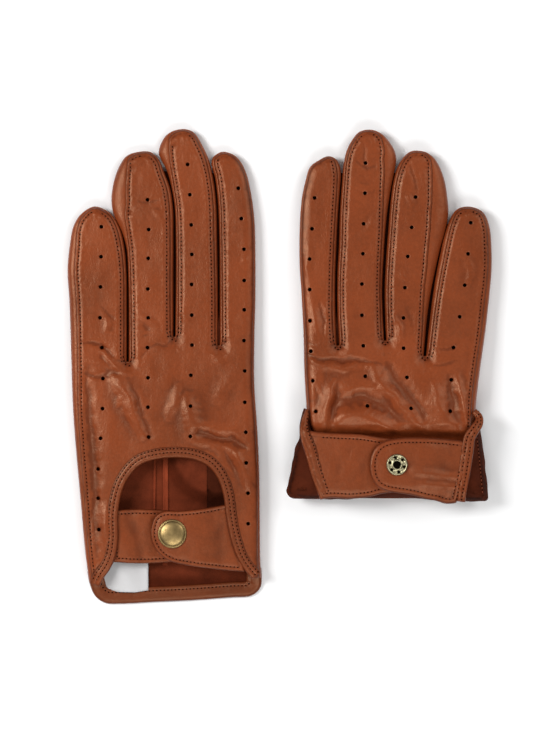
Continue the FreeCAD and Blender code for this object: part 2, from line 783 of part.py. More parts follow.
def build(glove):
    """Every piece of one glove."""
    pieces = [palm_panel(glove), back_panel(glove)]
    pieces += [fourchette(glove, finger) for finger in FINGERS[:-1]]
    pieces += [thumb(glove), keyhole_binding(glove), hem_facing(glove), label(glove)]
    tab_face = S.tab_base + S.lining
    strap_face = S.strap_base + S.lining
    pieces.append(tab_layer(glove, "tab", tab_face, S.facing_skin))
    pieces.append(tab_layer(glove, "tab_lining", S.tab_base, S.lining))
    pieces.append(understrap_layer(glove, "understrap", strap_face, S.facing_skin))
    pieces.append(understrap_layer(glove, "understrap_lining", S.strap_base, S.lining))
    pieces += [cap(glove), socket(glove), stud(glove), post(glove)]
    return pieces


def write(pieces):
    """Check every object and shape, then write one STEP file a node."""
    DOC.recompute()
    for thing in DOC.Objects:
        if "Invalid" in thing.State or "Error" in thing.State:
            raise RuntimeError("%s failed" % thing.Label)
    os.makedirs("parts", exist_ok=True)
    whole = FreeCAD.BoundBox()
    for piece in pieces:
        shape = piece.Shape
        if shape.isNull() or not shape.isValid() or not shape.Solids:
            raise RuntimeError("%s has no valid solid" % piece.Label)
        shape.exportStep(os.path.join("parts", piece.Label + ".step"))
        whole.add(shape.BoundBox)
        print("%-36s %2d solid(s) %9.1f mm3" % (piece.Label, len(shape.Solids), shape.Volume))
    print("whole", whole)


write(build(LEFT) + build(RIGHT))
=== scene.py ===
"""A pair of leather driving gloves, laid flat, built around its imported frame."""
import math
import random

import bmesh
import bpy
import numpy as np
from bpy.props import FloatProperty, FloatVectorProperty, PointerProperty
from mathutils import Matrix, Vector, noise
from mathutils.geometry import delaunay_2d_cdt
from mathutils.kdtree import KDTree


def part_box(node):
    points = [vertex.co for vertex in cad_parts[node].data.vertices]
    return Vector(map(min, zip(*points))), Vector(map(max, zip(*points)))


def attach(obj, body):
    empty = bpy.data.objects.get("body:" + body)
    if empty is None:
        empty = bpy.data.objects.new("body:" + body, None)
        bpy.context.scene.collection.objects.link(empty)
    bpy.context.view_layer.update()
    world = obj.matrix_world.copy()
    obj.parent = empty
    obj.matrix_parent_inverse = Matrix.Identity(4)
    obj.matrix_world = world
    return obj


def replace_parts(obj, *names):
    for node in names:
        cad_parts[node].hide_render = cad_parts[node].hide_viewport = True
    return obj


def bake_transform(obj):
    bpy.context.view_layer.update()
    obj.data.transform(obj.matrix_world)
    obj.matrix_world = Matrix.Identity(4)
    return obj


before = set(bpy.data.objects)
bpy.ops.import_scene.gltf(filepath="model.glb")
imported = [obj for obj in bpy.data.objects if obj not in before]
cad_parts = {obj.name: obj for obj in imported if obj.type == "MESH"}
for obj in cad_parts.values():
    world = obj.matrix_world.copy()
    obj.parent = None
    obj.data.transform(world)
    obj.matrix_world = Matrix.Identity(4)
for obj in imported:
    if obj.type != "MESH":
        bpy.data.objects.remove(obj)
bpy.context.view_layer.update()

bl_info = {
    "name": "Leather Driving Gloves",
    "version": (1, 0, 0),
    "blender": (4, 5, 0),
    "location": "View3D > Sidebar > Gloves",
    "description": "Builds a pair of perforated leather gloves around their frame",
    "category": "Add Mesh",
}

MM = 0.001            # the patterns below are drawn in millimetres, and the model is in metres

# ---- patterns ---------------------------------------------------------------------------------
# A pattern is drawn in its glove's own frame: X towards the index finger and Y up from the hem.
# The right glove's pattern is worn with X reversed. A finger's outline runs from its little
# finger side, over its tip, to its index side. The third number is how much of the side leather
# shows between that edge and the back panel.

LEFT_FINGERS = (
    [(-39.5, 11, 1.5), (-41.5, 25, 1.75), (-44.5, 59, 2.25), (-46.5, 81, 2.5), (-48, 102, 2.75),
     (-49, 129, 3.5), (-50, 158, 3.75), (-51, 174, 3.75), (-50, 186, 3.5), (-48, 197, 2.5),
     (-44, 203.5, 1.5), (-37, 207.5, 0.8), (-31, 205.5, 0.8), (-27, 202, 1), (-23.5, 195.5, 1.5),
     (-21.5, 187, 1.5), (-20.3, 174, 1.25), (-20, 151, 1.25), (-20, 126.5, 1.2)],
    [(-19, 126.5, 1.2), (-19, 151, 1), (-19.3, 171.5, 1), (-20.2, 185.5, 1.25), (-23, 195, 3),
     (-26.5, 202, 6), (-28, 208, 7.75), (-28, 214, 7.5), (-26.5, 222, 6.5), (-23.5, 229.5, 4.25),
     (-20, 234, 1.75), (-14, 236, 0.8), (-8, 236, 0.8), (-3.5, 232, 1), (-0.5, 225, 1.5),
     (2.5, 217, 1.75), (4, 206.5, 1.75), (4.2, 190, 1.5), (4.2, 166.5, 1.5), (4.2, 139.5, 1.3)],
    [(5.2, 139.5, 1.2), (5.5, 164, 1), (5.5, 190, 1), (5, 206.5, 1), (3.2, 217.5, 1.25),
     (1, 225.5, 2.25), (-2, 231.5, 4.75), (-3.5, 235.5, 5.75), (-2, 241, 4.5), (1, 245.2, 2),
     (6, 247.5, 0.8), (11.5, 247.7, 0.8), (15.5, 245.5, 1), (19, 240, 1.25), (22.5, 232.5, 1.5),
     (25, 222, 1.5), (26.5, 209, 1.5), (27, 190, 1.5), (27.4, 164, 1.25), (27.4, 135, 1.2)],
    [(28.4, 135, 1.2), (28.4, 164, 1), (28.2, 190, 1), (27.5, 209, 1.25), (26, 222, 1.25),
     (24, 230, 1.5), (25, 233.3, 1.25), (29.5, 236, 0.8), (34.5, 235, 0.8), (38.5, 232, 1),
     (42, 225.5, 1), (44.5, 215.5, 1), (46.5, 201, 1), (47, 184.5, 1), (47, 158.5, 1),
     (46.5, 138, 1), (46.5, 114.5, 1), (48, 92, 1), (49, 70, 1), (49.3, 44, 1), (49.5, 24.5, 1),
     (50, 14, 1)],
)
LEFT_HEM = [(50, 14), (49.3, 8.5), (45, 4.5), (34, 3.5), (13, 2), (-8, 1), (-24.5, 0.2),
            (-31.5, 0.6), (-36.5, 4), (-39.5, 11)]
LEFT_KEYHOLE = [(-34.6, 9.6), (-33, 13.5), (-29.5, 18.5), (-26.5, 25), (-25, 34), (-25, 47),
                (-24, 54.5), (-22, 61.5), (-18, 68.5), (-12, 74), (-2.5, 76.7), (8, 77.2),
                (16, 76), (23, 72.5), (28, 66), (31, 57), (32.3, 47), (34.5, 35.5), (38, 25),
                (42, 18.5), (46, 13.8)]
# rows of vents, from the fingertip down: where each row runs, and how many vents are in it
LEFT_VENTS = (
    ([(-33.2, 196.5), (-33.7, 155), (-32.3, 103.5), (-34.5, 72), (-34.5, 39.5)], 11),
    ([(-9.3, 211), (-8.5, 190), (-9, 150), (-8.5, 87)], 9),
    ([(11.5, 229.3), (13.5, 205), (14, 150), (13, 88)], 10),
    ([(38, 216.5), (41, 188), (41.3, 120), (43.5, 42)], 12),
)

RIGHT_FINGERS = (
    [(-43.5, 56, 1.5), (-43.5, 73, 1.5), (-44, 91, 2), (-45, 106.5, 2.5), (-47, 123, 2.5),
     (-49.5, 140.5, 2.25), (-51.5, 157.5, 2.25), (-53, 174, 2), (-53, 185.5, 2),
     (-52, 196.5, 1.75), (-49, 204, 1.25), (-43.5, 207, 0.8), (-37.5, 207, 0.8),
     (-34, 205, 1), (-31.3, 200.5, 1.5), (-28.5, 192.5, 2), (-26, 181.5, 2.25),
     (-23.6, 169, 2.25), (-21.5, 154.5, 2), (-20, 141.5, 1.75), (-18.7, 129.5, 1.5)],
    [(-17.6, 129.5, 1.5), (-18.5, 140.5, 1.75), (-19.8, 152.5, 2.5), (-21.6, 164, 3.75),
     (-23.7, 174, 4.75), (-26.3, 185.5, 6.5), (-29, 195, 8.25), (-30.5, 204, 9.25),
     (-30, 212, 8.25), (-28.5, 221, 6.75), (-25.5, 229, 4.25), (-22.3, 233.5, 2),
     (-18, 236, 0.8), (-11.5, 236.3, 0.8), (-8, 234, 1), (-4.5, 229, 1.5), (-2, 221, 1.5),
     (-0.5, 210.5, 1.5), (0.8, 195, 1.5), (2, 179.5, 1.5), (2.7, 164, 1.5), (2.5, 151, 1.5),
     (2, 137.5, 1.5)],
    [(3, 137.5, 1.25), (3.7, 151, 1), (4, 164, 1), (3.3, 179.5, 1.25), (2.3, 195, 1.5),
     (1, 206.5, 2.5), (-0.5, 216, 3.75), (-2.3, 225, 5.25), (-3.4, 231.5, 6.75),
     (-2.5, 236.5, 5.75), (0.5, 241.5, 3.75), (4, 245.2, 1.5), (9.5, 247.4, 0.8),
     (15.5, 246.5, 0.8), (19, 243, 1), (22.5, 236.5, 1.25), (24, 230, 1.25), (25, 218.5, 1.25),
     (26, 203, 1.25), (26.5, 187, 1.25), (27.3, 171.5, 1.25), (27.3, 153.5, 1.25),
     (26.5, 135, 1.25)],
    [(27.6, 135, 1.5), (28.4, 153.5, 1.5), (28.4, 171.5, 1.25), (27.8, 187, 1.25),
     (27, 203, 1.25), (26, 216, 1.5), (25.4, 225, 2), (26.5, 230, 2), (28.5, 232.5, 1.25),
     (32, 233.6, 0.8), (37, 231.5, 1), (41.5, 228, 1), (44, 220.5, 1), (46, 210.5, 1),
     (47, 195, 1), (47, 177, 1), (46, 161, 1), (45, 140.5, 1), (44.5, 119.5, 1), (43.5, 104, 1),
     (42.5, 86, 1), (42.5, 70, 1), (42.5, 56, 1)],
)
RIGHT_HEM = [(42.5, 56), (20, 55.5), (-20, 55.5), (-43.5, 56)]
RIGHT_VENTS = (
    ([(-42, 198.5), (-39, 166.5), (-33, 133.5), (-31, 101)], 7),
    ([(-13.3, 212), (-9, 180.5), (-7, 132.5), (-10.5, 102.5)], 8),
    ([(12.5, 229.5), (14.5, 172), (14, 133), (12, 103.5)], 9),
    ([(39.5, 211.5), (41.8, 175), (41, 131.5), (39, 100.5)], 8),
)

# Heights along a hand: of the back's middle, of its sides, and how far in the back rolls down
LEFT_HEIGHTS = {
    "crown": [(0, 9.5), (30, 11.5), (80, 12.6), (120, 12.0), (150, 10.2), (200, 9.0), (250, 7.6)],
    "flank": [(0, 5.0), (60, 7.2), (110, 7.6), (150, 5.8), (200, 5.0), (250, 4.2)],
    "roll": [(0, 5.0), (110, 6.0), (140, 5.5), (250, 5.5)],
}
RIGHT_HEIGHTS = {
    "crown": [(50, 8.0), (84, 8.5), (88, 10.5), (90.5, 13.6), (94, 15.4), (101, 15.4),
              (108, 14.8), (122, 13.2), (150, 10.4), (200, 9.2), (250, 8.0)],
    "flank": [(50, 5.0), (90, 5.0), (100, 7.0), (110, 7.6), (150, 5.8), (200, 5.0), (250, 4.2)],
    "roll": [(50, 5.0), (110, 6.0), (140, 5.5), (250, 5.5)],
}

LEFT_SNAP = (3.9, 37.2)                         # where each snap sits in its pattern
RIGHT_SNAP = (-3.1, 73.3)
RIGHT_LIFT = 1.9                                # the right hand lies on its own turned-back cuff
THUMB_LINE = [(27, 80), (25, 108), (24, 133)]   # the thumb, folded under the palm
THUMB_HALF = 12.0
THUMB_MIDDLE = 2.75
WEB_TOPS = (199, 226, 225)                      # how far up each gap its gusset is closed
SNAP_LIFT = 0.3                                 # the cap and eyelet faces stand off the leather
STITCH_SHARE = 0.62                             # how much of the pitch a stitch covers
SEAM_ROWS = (0.4, 0.8, 1.25, 1.7, 2.15, 2.65, 3.3, 4.1)   # mesh rows in from a sewn edge

# Creases and soft folds in the back: (points), width, height. A valley's height is negative.
LEFT_CREASES = (
    ([(-45, 136.5), (-35, 135.2), (-28.6, 130), (-20.6, 122.8)], 1.5, -0.8),
    ([(-34, 132.4), (-27, 126.8), (-20.8, 120.6), (-15, 120)], 1.9, 0.9),
    ([(-44, 121), (-34, 118.4), (-25, 120.4), (-18, 121.6)], 1.8, -0.7),
    ([(-41, 127), (-33, 125.5), (-27, 122.5)], 1.5, 0.4),
    ([(-28, 122), (-19, 107), (-10, 86)], 4.4, 2.1),
    ([(-18.5, 115), (-12.4, 99), (-7, 85)], 2.0, -0.9),
    ([(-27, 112), (-21, 101), (-17, 92)], 2.0, 0.35),
    ([(-41, 126), (-40, 104), (-38.2, 80), (-37, 54), (-37, 14)], 3.8, -2.0),
    ([(-30, 108), (-29, 90), (-28.5, 72)], 4.5, 0.4),
    ([(7.5, 115), (4.8, 105), (2, 95)], 3.0, 1.1),
    ([(11.5, 111), (13.5, 98), (16, 84)], 5.0, 2.0),
    ([(38, 124), (31, 114), (26, 103)], 3.4, 0.5),
    ([(11, 90), (22, 88), (33, 85.6), (45, 80.5)], 2.6, -1.8),
    ([(17, 93.5), (28, 92), (38, 88)], 3.2, 0.5),
    ([(33, 85), (39.8, 74), (43, 59)], 3.0, 1.5),
    ([(30, 81), (34, 74), (36, 66)], 1.2, -0.4),
    ([(14, 84.5), (22, 83.5), (29, 79.5)], 1.2, 0.55),
    ([(16, 81.6), (23, 80.6), (28, 77)], 1.0, -0.4),
    ([(-31.5, 52), (-31, 40), (-30, 30)], 2.2, 0.8),
    ([(-30, 24), (-35, 19), (-39, 12)], 1.6, -0.8),
    ([(-30.4, 150.5), (-30.2, 146), (-31.6, 141)], 1.4, 0.6),
    ([(-33.5, 155), (-29, 151), (-24, 148)], 1.1, -0.35),
    ([(-15, 209.4), (-8.5, 209), (-2, 210.4)], 1.1, -0.35),
    ([(-7, 204.6), (-3.5, 202), (0, 199.6)], 1.8, 0.5),
    ([(-15.5, 152.4), (-9, 147.5), (-3, 143.6)], 1.5, 0.45),
    ([(-13, 146.5), (-7, 141.5)], 1.2, -0.3),
    ([(7, 153), (13.5, 146)], 2.0, 0.4),
    ([(-14.5, 127.5), (-8, 133.6), (2, 134.4), (13, 134.6)], 1.2, -0.35),
    ([(22, 130.6), (28, 133.4), (34, 138)], 1.2, -0.35),
    ([(24.5, 131), (27.5, 126.5), (31, 125)], 1.6, 0.45),
    ([(40, 178), (44, 180)], 1.4, 0.4),
    ([(37, 150), (43, 147)], 1.6, 0.35),
    ([(-3, 118), (3, 113)], 3.0, 0.35),
)
RIGHT_CREASES = (
    ([(45, 131.5), (36, 128.2), (26, 127.6), (14, 127.2), (4, 124)], 1.5, -1.2),
    ([(43, 127), (30, 123.8), (18, 123.4)], 2.4, 1.0),
    ([(34, 99), (24, 105.5), (13, 107), (2, 102.5), (-7, 95.5), (-17, 88)], 4.4, -2.0),
    ([(31, 94), (22, 98.5), (12, 98), (4, 93), (-2, 88)], 4.4, 1.9),
    ([(28, 110), (17, 114), (6, 112), (-2, 106)], 4.2, 1.0),
    ([(13, 128), (6.5, 119), (-1, 110), (-9, 100), (-16, 90)], 3.8, 1.5),
    ([(3, 127), (-5, 115), (-14, 102), (-23, 89)], 4.0, -1.5),
    ([(28, 118), (31.5, 110), (33.4, 100), (35.4, 88)], 2.4, 1.6),
    ([(26.5, 115), (28.3, 104), (29.5, 89)], 2.4, -1.3),
    ([(38, 116), (38.5, 103), (38.5, 92)], 1.8, -0.9),
    ([(-30, 121), (-32.5, 104), (-37, 88)], 2.6, -1.7),
    ([(-35, 121), (-37.8, 105), (-41.5, 90)], 2.0, 1.2),
    ([(-22, 118), (-25, 106), (-28, 92)], 3.4, 1.0),
    ([(7, 93.5), (-1, 92.5), (-8, 88.5)], 1.1, 0.6),
    ([(4, 91), (-4, 89.6)], 1.0, -0.5),
    ([(-16.5, 127), (-27, 125), (-36, 128)], 1.4, -0.45),
    ([(-20, 137), (-27, 133), (-37, 137)], 1.4, -0.4),
    ([(12, 243), (13.4, 234), (11, 226)], 1.2, -0.5),
    ([(19, 232), (12, 228), (6, 229)], 1.2, -0.4),
    ([(18, 219), (13, 217), (7, 219)], 1.6, 0.45),
    ([(17, 192), (11, 197), (9, 205)], 2.2, 0.6),
    ([(-10, 233), (-12.4, 223), (-15, 214)], 1.2, -0.5),
    ([(-16, 232), (-18, 222), (-19, 214)], 1.5, 0.5),
    ([(-9, 214), (-13.5, 208)], 1.9, 0.6),
    ([(-6, 176), (-8.5, 168)], 2.0, 0.5),
    ([(0, 152), (-5, 144), (-6, 136)], 1.6, 0.6),
    ([(3, 149), (-1, 142), (-2, 134)], 1.3, -0.4),
    ([(40, 157), (38.4, 148), (37.5, 139)], 1.6, 0.5),
    ([(33, 158), (31.5, 149), (31, 141)], 1.6, 0.5),
    ([(36, 159), (34.6, 148), (34, 139)], 1.2, -0.5),
    ([(44, 138), (38, 134.4)], 1.2, -0.4),
    ([(41, 188), (43, 176), (42.6, 168)], 1.8, 0.5),
    ([(-40, 184), (-42, 172), (-40, 162)], 2.2, 0.6),
)
# Patches of fine wrinkles: centre, half width and height, heading in degrees, how many, depth.
LEFT_WRINKLES = (
    ((-35, 124), (8, 8), -18, 9, 0.20), ((-19, 120), (5, 4), 85, 7, 0.22),
    ((-8, 135), (8, 4), 15, 6, 0.18), ((4, 135), (4, 3), 80, 6, 0.20),
    ((28, 131), (4, 3), 65, 6, 0.20), ((-19, 104), (7, 9), -64, 7, 0.20),
    ((34, 77), (7, 7), -60, 9, 0.24), ((-36, 64), (3, 26), 86, 7, 0.20),
    ((-8, 206), (6, 8), 5, 5, 0.18), ((-31, 150), (5, 10), -40, 5, 0.16),
)
RIGHT_WRINKLES = (
    ((33, 124), (9, 5), 6, 8, 0.24), ((4, 112), (8, 8), -55, 7, 0.22),
    ((-14, 100), (10, 6), 70, 9, 0.26), ((-34, 104), (5, 10), 82, 8, 0.26),
    ((32, 102), (4, 9), 88, 6, 0.24), ((12, 232), (6, 9), 75, 8, 0.22),
    ((-14, 225), (6, 9), 78, 8, 0.22), ((-3, 145), (6, 8), 68, 6, 0.20),
    ((36, 150), (6, 9), 80, 6, 0.20),
)


def scattered_wrinkles(fields, seed):
    """Short curved wrinkles spread over each patch, as (line, width, height)."""
    rng = random.Random(seed)
    for (x, y), (half_x, half_y), heading, count, depth in fields:
        for _ in range((count + 1) // 2):
            a = math.radians(heading + rng.gauss(0, 11))
            start_x, start_y = x + rng.gauss(0, half_x * 0.7), y + rng.gauss(0, half_y * 0.7)
            length, bend = rng.uniform(5, 13), rng.uniform(-0.35, 0.35)
            line = [(start_x + length * t * math.cos(a + bend * t),
                     start_y + length * t * math.sin(a + bend * t)) for t in (0, 0.33, 0.66, 1)]
            height = depth * rng.uniform(0.4, 1.1) * rng.choice((-1, -1, 1))
            yield line, rng.uniform(0.85, 1.25), height


# ---- settings ---------------------------------------------------------------------------------

class GloveSizes(bpy.types.PropertyGroup):
    """Sizes that a maker would change."""
    leather: FloatProperty(name="Leather", description="Thickness of the nappa", default=0.0009,
                           unit="LENGTH", subtype="DISTANCE")
    seam_inset: FloatProperty(name="Seam Inset", description="From a panel's edge to its stitches",
                              default=0.0019, unit="LENGTH", subtype="DISTANCE")
    stitch_pitch: FloatProperty(name="Stitch Pitch", description="From one stitch to the next",
                                default=0.0019, unit="LENGTH", subtype="DISTANCE")
    thread: FloatProperty(name="Thread", description="Thickness of the thread", default=0.00042,
                          unit="LENGTH", subtype="DISTANCE")
    vent_radius: FloatProperty(name="Vent Radius", description="Radius of a punched vent",
                               default=0.00100, unit="LENGTH", subtype="DISTANCE")
    mesh_step: FloatProperty(name="Mesh Step", description="Distance between a panel's points",
                             default=0.00100, unit="LENGTH", subtype="DISTANCE")


class GloveColours(bpy.types.PropertyGroup):
    """Colours that a maker would change."""
    nappa: FloatVectorProperty(name="Nappa", description="Face of the leather", size=3,
                               default=(0.196, 0.0365, 0.0089), subtype="COLOR")
    suede: FloatVectorProperty(name="Suede", description="Flesh side of the leather", size=3,
                               default=(0.120, 0.022, 0.0085), subtype="COLOR")
    thread: FloatVectorProperty(name="Thread", description="Sewing thread", size=3,
                                default=(0.115, 0.022, 0.006), subtype="COLOR")
    brass: FloatVectorProperty(name="Brass", description="Snap cap", size=3,
                               default=(0.31, 0.215, 0.09), subtype="COLOR")
    label: FloatVectorProperty(name="Label", description="Label cloth", size=3,
                               default=(0.62, 0.61, 0.61), subtype="COLOR")


def sizes():
    """The scene's glove sizes."""
    return bpy.context.scene.glove_sizes


def colours():
    """The scene's glove colours."""
    return bpy.context.scene.glove_colours


# ---- paths ------------------------------------------------------------------------------------

def smooth(points, step):
    """A smooth open path through the points, evenly spaced by about step."""
    rows = np.array(points, float)
    rows = np.vstack([2 * rows[0] - rows[1], rows, 2 * rows[-1] - rows[-2]])
    gaps = np.linalg.norm(np.diff(rows[:, :2], axis=0), axis=1) ** 0.5
    knots = np.concatenate([[0], np.cumsum(np.maximum(gaps, 1e-6))])
    fine = []
    for i in range(1, len(rows) - 2):
        k = knots[i - 1:i + 3]
        t = np.linspace(k[1], k[2], 24, endpoint=False)[:, None]
        a = [between(rows[i - 1 + j], rows[i + j], k[j], k[j + 1], t) for j in range(3)]
        b = [between(a[j], a[j + 1], k[j], k[j + 2], t) for j in range(2)]
        fine.append(between(b[0], b[1], k[1], k[2], t))
    fine.append(rows[-2:-1])
    return respaced(np.vstack(fine), step)


def between(p, q, low, high, t):
    """The value between p at low and q at high."""
    share = (t - low) / (high - low)
    return p * (1 - share) + q * share


def respaced(path, step):
    """The same path with evenly spaced points."""
    run = arc_length(path)
    count = max(2, int(round(run[-1] / step)) + 1)
    even = np.linspace(0, run[-1], count)
    return np.stack([np.interp(even, run, path[:, c]) for c in range(path.shape[1])], axis=1)


def arc_length(path):
    """The distance along a path to each of its points."""
    gaps = np.linalg.norm(np.diff(path[:, :2], axis=0), axis=1)
    return np.concatenate([[0], np.cumsum(gaps)])


def inward(path):
    """Unit normals to the right of travel, which is inwards on a pattern's outline."""
    ahead = np.gradient(path[:, :2], axis=0)
    ahead /= np.maximum(np.linalg.norm(ahead, axis=1), 1e-9)[:, None]
    return np.stack([ahead[:, 1], -ahead[:, 0]], axis=1)


def softened(values, times):
    """Rows along a path, averaged with their neighbours a number of times."""
    for _ in range(times):
        padded = np.concatenate([values[:1], values, values[-1:]])
        values = (padded[:-2] + 2 * values + padded[2:]) / 4
    return values


def inside(points, loop):
    """Which points lie inside a closed loop."""
    x, y = points[:, 0][:, None], points[:, 1][:, None]
    x0, y0 = loop[:, 0][None], loop[:, 1][None]
    x1, y1 = np.roll(loop[:, 0], -1)[None], np.roll(loop[:, 1], -1)[None]
    spans = (y0 > y) != (y1 > y)
    rise = np.where(y1 == y0, 1e-12, y1 - y0)
    return (spans & (x < (x1 - x0) * (y - y0) / rise + x0)).sum(axis=1) % 2 == 1


def nearest_on_line(points, line):
    """How far each point is from an open line, on which side, and how far along it."""
    line = np.array(line, float)[:, :2]
    run = arc_length(line)
    best = np.full(len(points), 1e9)
    side = np.zeros(len(points))
    place = np.zeros(len(points))
    for i, (a, b) in enumerate(zip(line[:-1], line[1:])):
        along = b - a
        share = np.clip(((points - a) @ along) / max(along @ along, 1e-9), 0, 1)
        away = points - a - share[:, None] * along
        gap = np.linalg.norm(away, axis=1)
        near = gap < best
        best[near] = gap[near]
        side[near] = (along[0] * away[near, 1] - along[1] * away[near, 0])
        place[near] = run[i] + share[near] * (run[i + 1] - run[i])
    return best, np.sign(side), place / run[-1]


def distance_to_line(points, line):
    """How far each point is from an open line of a few points."""
    return nearest_on_line(points, line)[0]


def stroke(points, line, width, height, step=0.0):
    """A crease that fades towards its ends; step makes one side stand above the other."""
    gap, side, place = nearest_on_line(points, line)
    fade = np.sin(np.pi * np.clip(place, 0, 1)) ** 0.8
    across = gap / (width * (0.6 + 0.4 * fade))
    shape = height * np.exp(-across ** 2) + step * side * across * np.exp(-across ** 2)
    return fade * shape


def uneven(points, across, along, seed, shift=0.0):
    """Smooth noise at each point, from the size of its lumps along X and Y."""
    return np.array([noise.noise((p[0] / across + shift, p[1] / along, seed)) for p in points])


class Nearest:
    """Tells how far points are from a path, which may be closed."""

    def __init__(self, path, step, closed=False):
        path = respaced(np.vstack([path, path[:1]]) if closed else path, step)
        self.tree = KDTree(len(path))
        for index, row in enumerate(path):
            self.tree.insert((row[0], row[1], 0), index)
        self.tree.balance()

    def gap(self, points):
        """The distance from each point to the path."""
        return np.array([self.tree.find((p[0], p[1], 0))[2] for p in points])


# ---- meshes -----------------------------------------------------------------------------------

def make_object(name, points, faces, materials, face_materials=None):
    """A smooth-shaded mesh object in the frame's coordinates."""
    mesh = bpy.data.meshes.new(name)
    mesh.from_pydata([tuple(p) for p in points], [], [tuple(f) for f in faces])
    for material in materials:
        mesh.materials.append(material)
    if face_materials is not None:
        mesh.polygons.foreach_set("material_index", np.array(face_materials, np.int32))
    mesh.polygons.foreach_set("use_smooth", np.ones(len(mesh.polygons), bool))
    mesh.update()
    return linked(name, mesh)


def linked(name, data):
    """A new object of the scene that shows some data."""
    made = bpy.data.objects.new(name, data)
    bpy.context.collection.objects.link(made)
    return made


def finish_mesh(piece):
    """Merge doubles and turn every face outwards."""
    work = bmesh.new()
    work.from_mesh(piece.data)
    bmesh.ops.remove_doubles(work, verts=work.verts, dist=1e-6)
    bmesh.ops.recalc_face_normals(work, faces=work.faces)
    work.to_mesh(piece.data)
    work.free()
    piece.data.update()
    return piece


def join(name, parts):
    """Join mesh objects into one with the given name, keeping each one's materials."""
    bpy.ops.object.select_all(action="DESELECT")
    for part in parts:
        part.select_set(True)
    bpy.context.view_layer.objects.active = parts[0]
    if len(parts) > 1:
        bpy.ops.object.join()
    parts[0].name = name
    parts[0].data.name = name
    return parts[0]


def grid_points(loop, step):
    """Points of a triangular grid over a loop's box."""
    low = loop.min(axis=0) - step
    high = loop.max(axis=0) + step
    rows = []
    for index, y in enumerate(np.arange(low[1], high[1], step * 0.866)):
        shift = step / 2 if index % 2 else 0
        rows.extend((x + shift, y) for x in np.arange(low[0], high[0], step))
    return np.array(rows)


def triangulate(loop, holes, free):
    """Triangles that fill a loop, leave its holes open and use the free points."""
    coords = [Vector(p[:2]) for p in loop]
    edges = [(i, (i + 1) % len(loop)) for i in range(len(loop))]
    for hole in holes:
        start = len(coords)
        coords.extend(Vector(p) for p in hole)
        edges.extend((start + i, start + (i + 1) % len(hole)) for i in range(len(hole)))
    coords.extend(Vector(p[:2]) for p in free)
    result = delaunay_2d_cdt(coords, edges, [], 0, 1e-5)
    points = np.array([tuple(v) for v in result[0]])
    triangles = np.array([tuple(f) for f in result[2]])
    centres = points[triangles].mean(axis=1)
    keep = inside(centres, loop[:, :2])
    for hole in holes:
        keep &= ~inside(centres, np.array(hole))
    return points, triangles[keep]


def border_edges(triangles):
    """Directed edges that only one triangle has."""
    edges = np.vstack([triangles[:, [0, 1]], triangles[:, [1, 2]], triangles[:, [2, 0]]])
    keys = np.sort(edges, axis=1)
    _, first, counts = np.unique(keys, axis=0, return_index=True, return_counts=True)
    return edges[first[counts == 1]]


def evened(height, edges, times):
    """Heights averaged with their neighbours' along the mesh edges."""
    count = np.bincount(edges.ravel(), minlength=len(height))
    for _ in range(times):
        total = np.bincount(edges[:, 0], height[edges[:, 1]], len(height))
        total += np.bincount(edges[:, 1], height[edges[:, 0]], len(height))
        height = 0.5 * height + 0.5 * total / count
    return height


def shade_and_wear_of(points, triangles, loop, height):
    """Painted shade and wear: near 1 in a valley or at an edge, where the colour is painted darker
    as if in shade, and -1 on a rubbed ridge, which only turns a little glossier.
    """
    edges = np.vstack([triangles[:, [0, 1]], triangles[:, [1, 2]], triangles[:, [2, 0]]])
    edges = np.unique(np.sort(edges, axis=1), axis=0)
    narrow = (evened(height, edges, 6) - height) / 0.22
    broad = (evened(height, edges, 80) - height) / 1.3
    gap = Nearest(loop, 0.5, True).gap(points)
    rim = 0.75 * np.exp(-(gap / 1.3) ** 2)
    body = np.clip(narrow, -0.4, 0.45) * np.clip(gap / 1.6, 0, 1) + np.clip(broad, -0.4, 0.35)
    return np.clip(body + rim, -1, 1)


def add_shade_and_wear(piece, values):
    """Store the painted shade and wear of each vertex on a mesh."""
    layer = piece.data.attributes.new("shade_and_wear", "FLOAT", "POINT")
    layer.data.foreach_set("value", np.asarray(values, np.float32))
    return piece


def slab(glove, name, loop, free, top, bottom, finish, holes=(), painted_shade=None):
    """A closed sheet between two height functions, filled inside a loop, with painted shade in its
    valleys and at its edges, and darker still where a field of painted shade is given.
    """
    points, triangles = triangulate(loop, holes, free)
    used, order = np.unique(triangles, return_inverse=True)
    points, triangles = points[used], order.reshape(triangles.shape)
    first = points[triangles[:, 0]]
    cross = np.cross(points[triangles[:, 1]] - first, points[triangles[:, 2]] - first)
    triangles[cross < 0] = triangles[cross < 0][:, ::-1]
    count = len(points)
    upper = np.column_stack([points, top(points)])
    lower = np.column_stack([points, bottom(points)])
    rim = border_edges(triangles)
    sides = np.column_stack([rim[:, 1], rim[:, 0], rim[:, 0] + count, rim[:, 1] + count])
    faces = [tuple(f) for f in triangles] + [tuple(f[::-1] + count) for f in triangles]
    faces += [tuple(f) for f in sides]
    kinds = [0] * len(triangles) + [1] * len(triangles) + [2] * len(sides)
    # painted shade: darker in the top's valleys and at its edges, as if in shade; the bottom gets
    # a little of it
    shade_and_wear = shade_and_wear_of(points, triangles, loop[:, :2], upper[:, 2])
    piece = glove.make(name, np.vstack([upper, lower]), faces, dressed(finish), kinds)
    # painted shade: a given field darkens the top further
    upper_shade_and_wear = shade_and_wear if painted_shade is None else np.maximum(shade_and_wear, painted_shade(points))
    return add_shade_and_wear(piece, np.concatenate([upper_shade_and_wear, shade_and_wear * 0.4]))


def ring_points(edge, offsets, normals, loop_tree, tolerance=0.25):
    """Rows of points at set distances inside a panel's edge, kept where rows don't cross."""
    rows = []
    for offset in offsets:
        row = edge[:, :2] + normals * offset
        gap = loop_tree.gap(row)
        rows.append(row[np.abs(gap - offset) < tolerance])
    return np.vstack(rows)


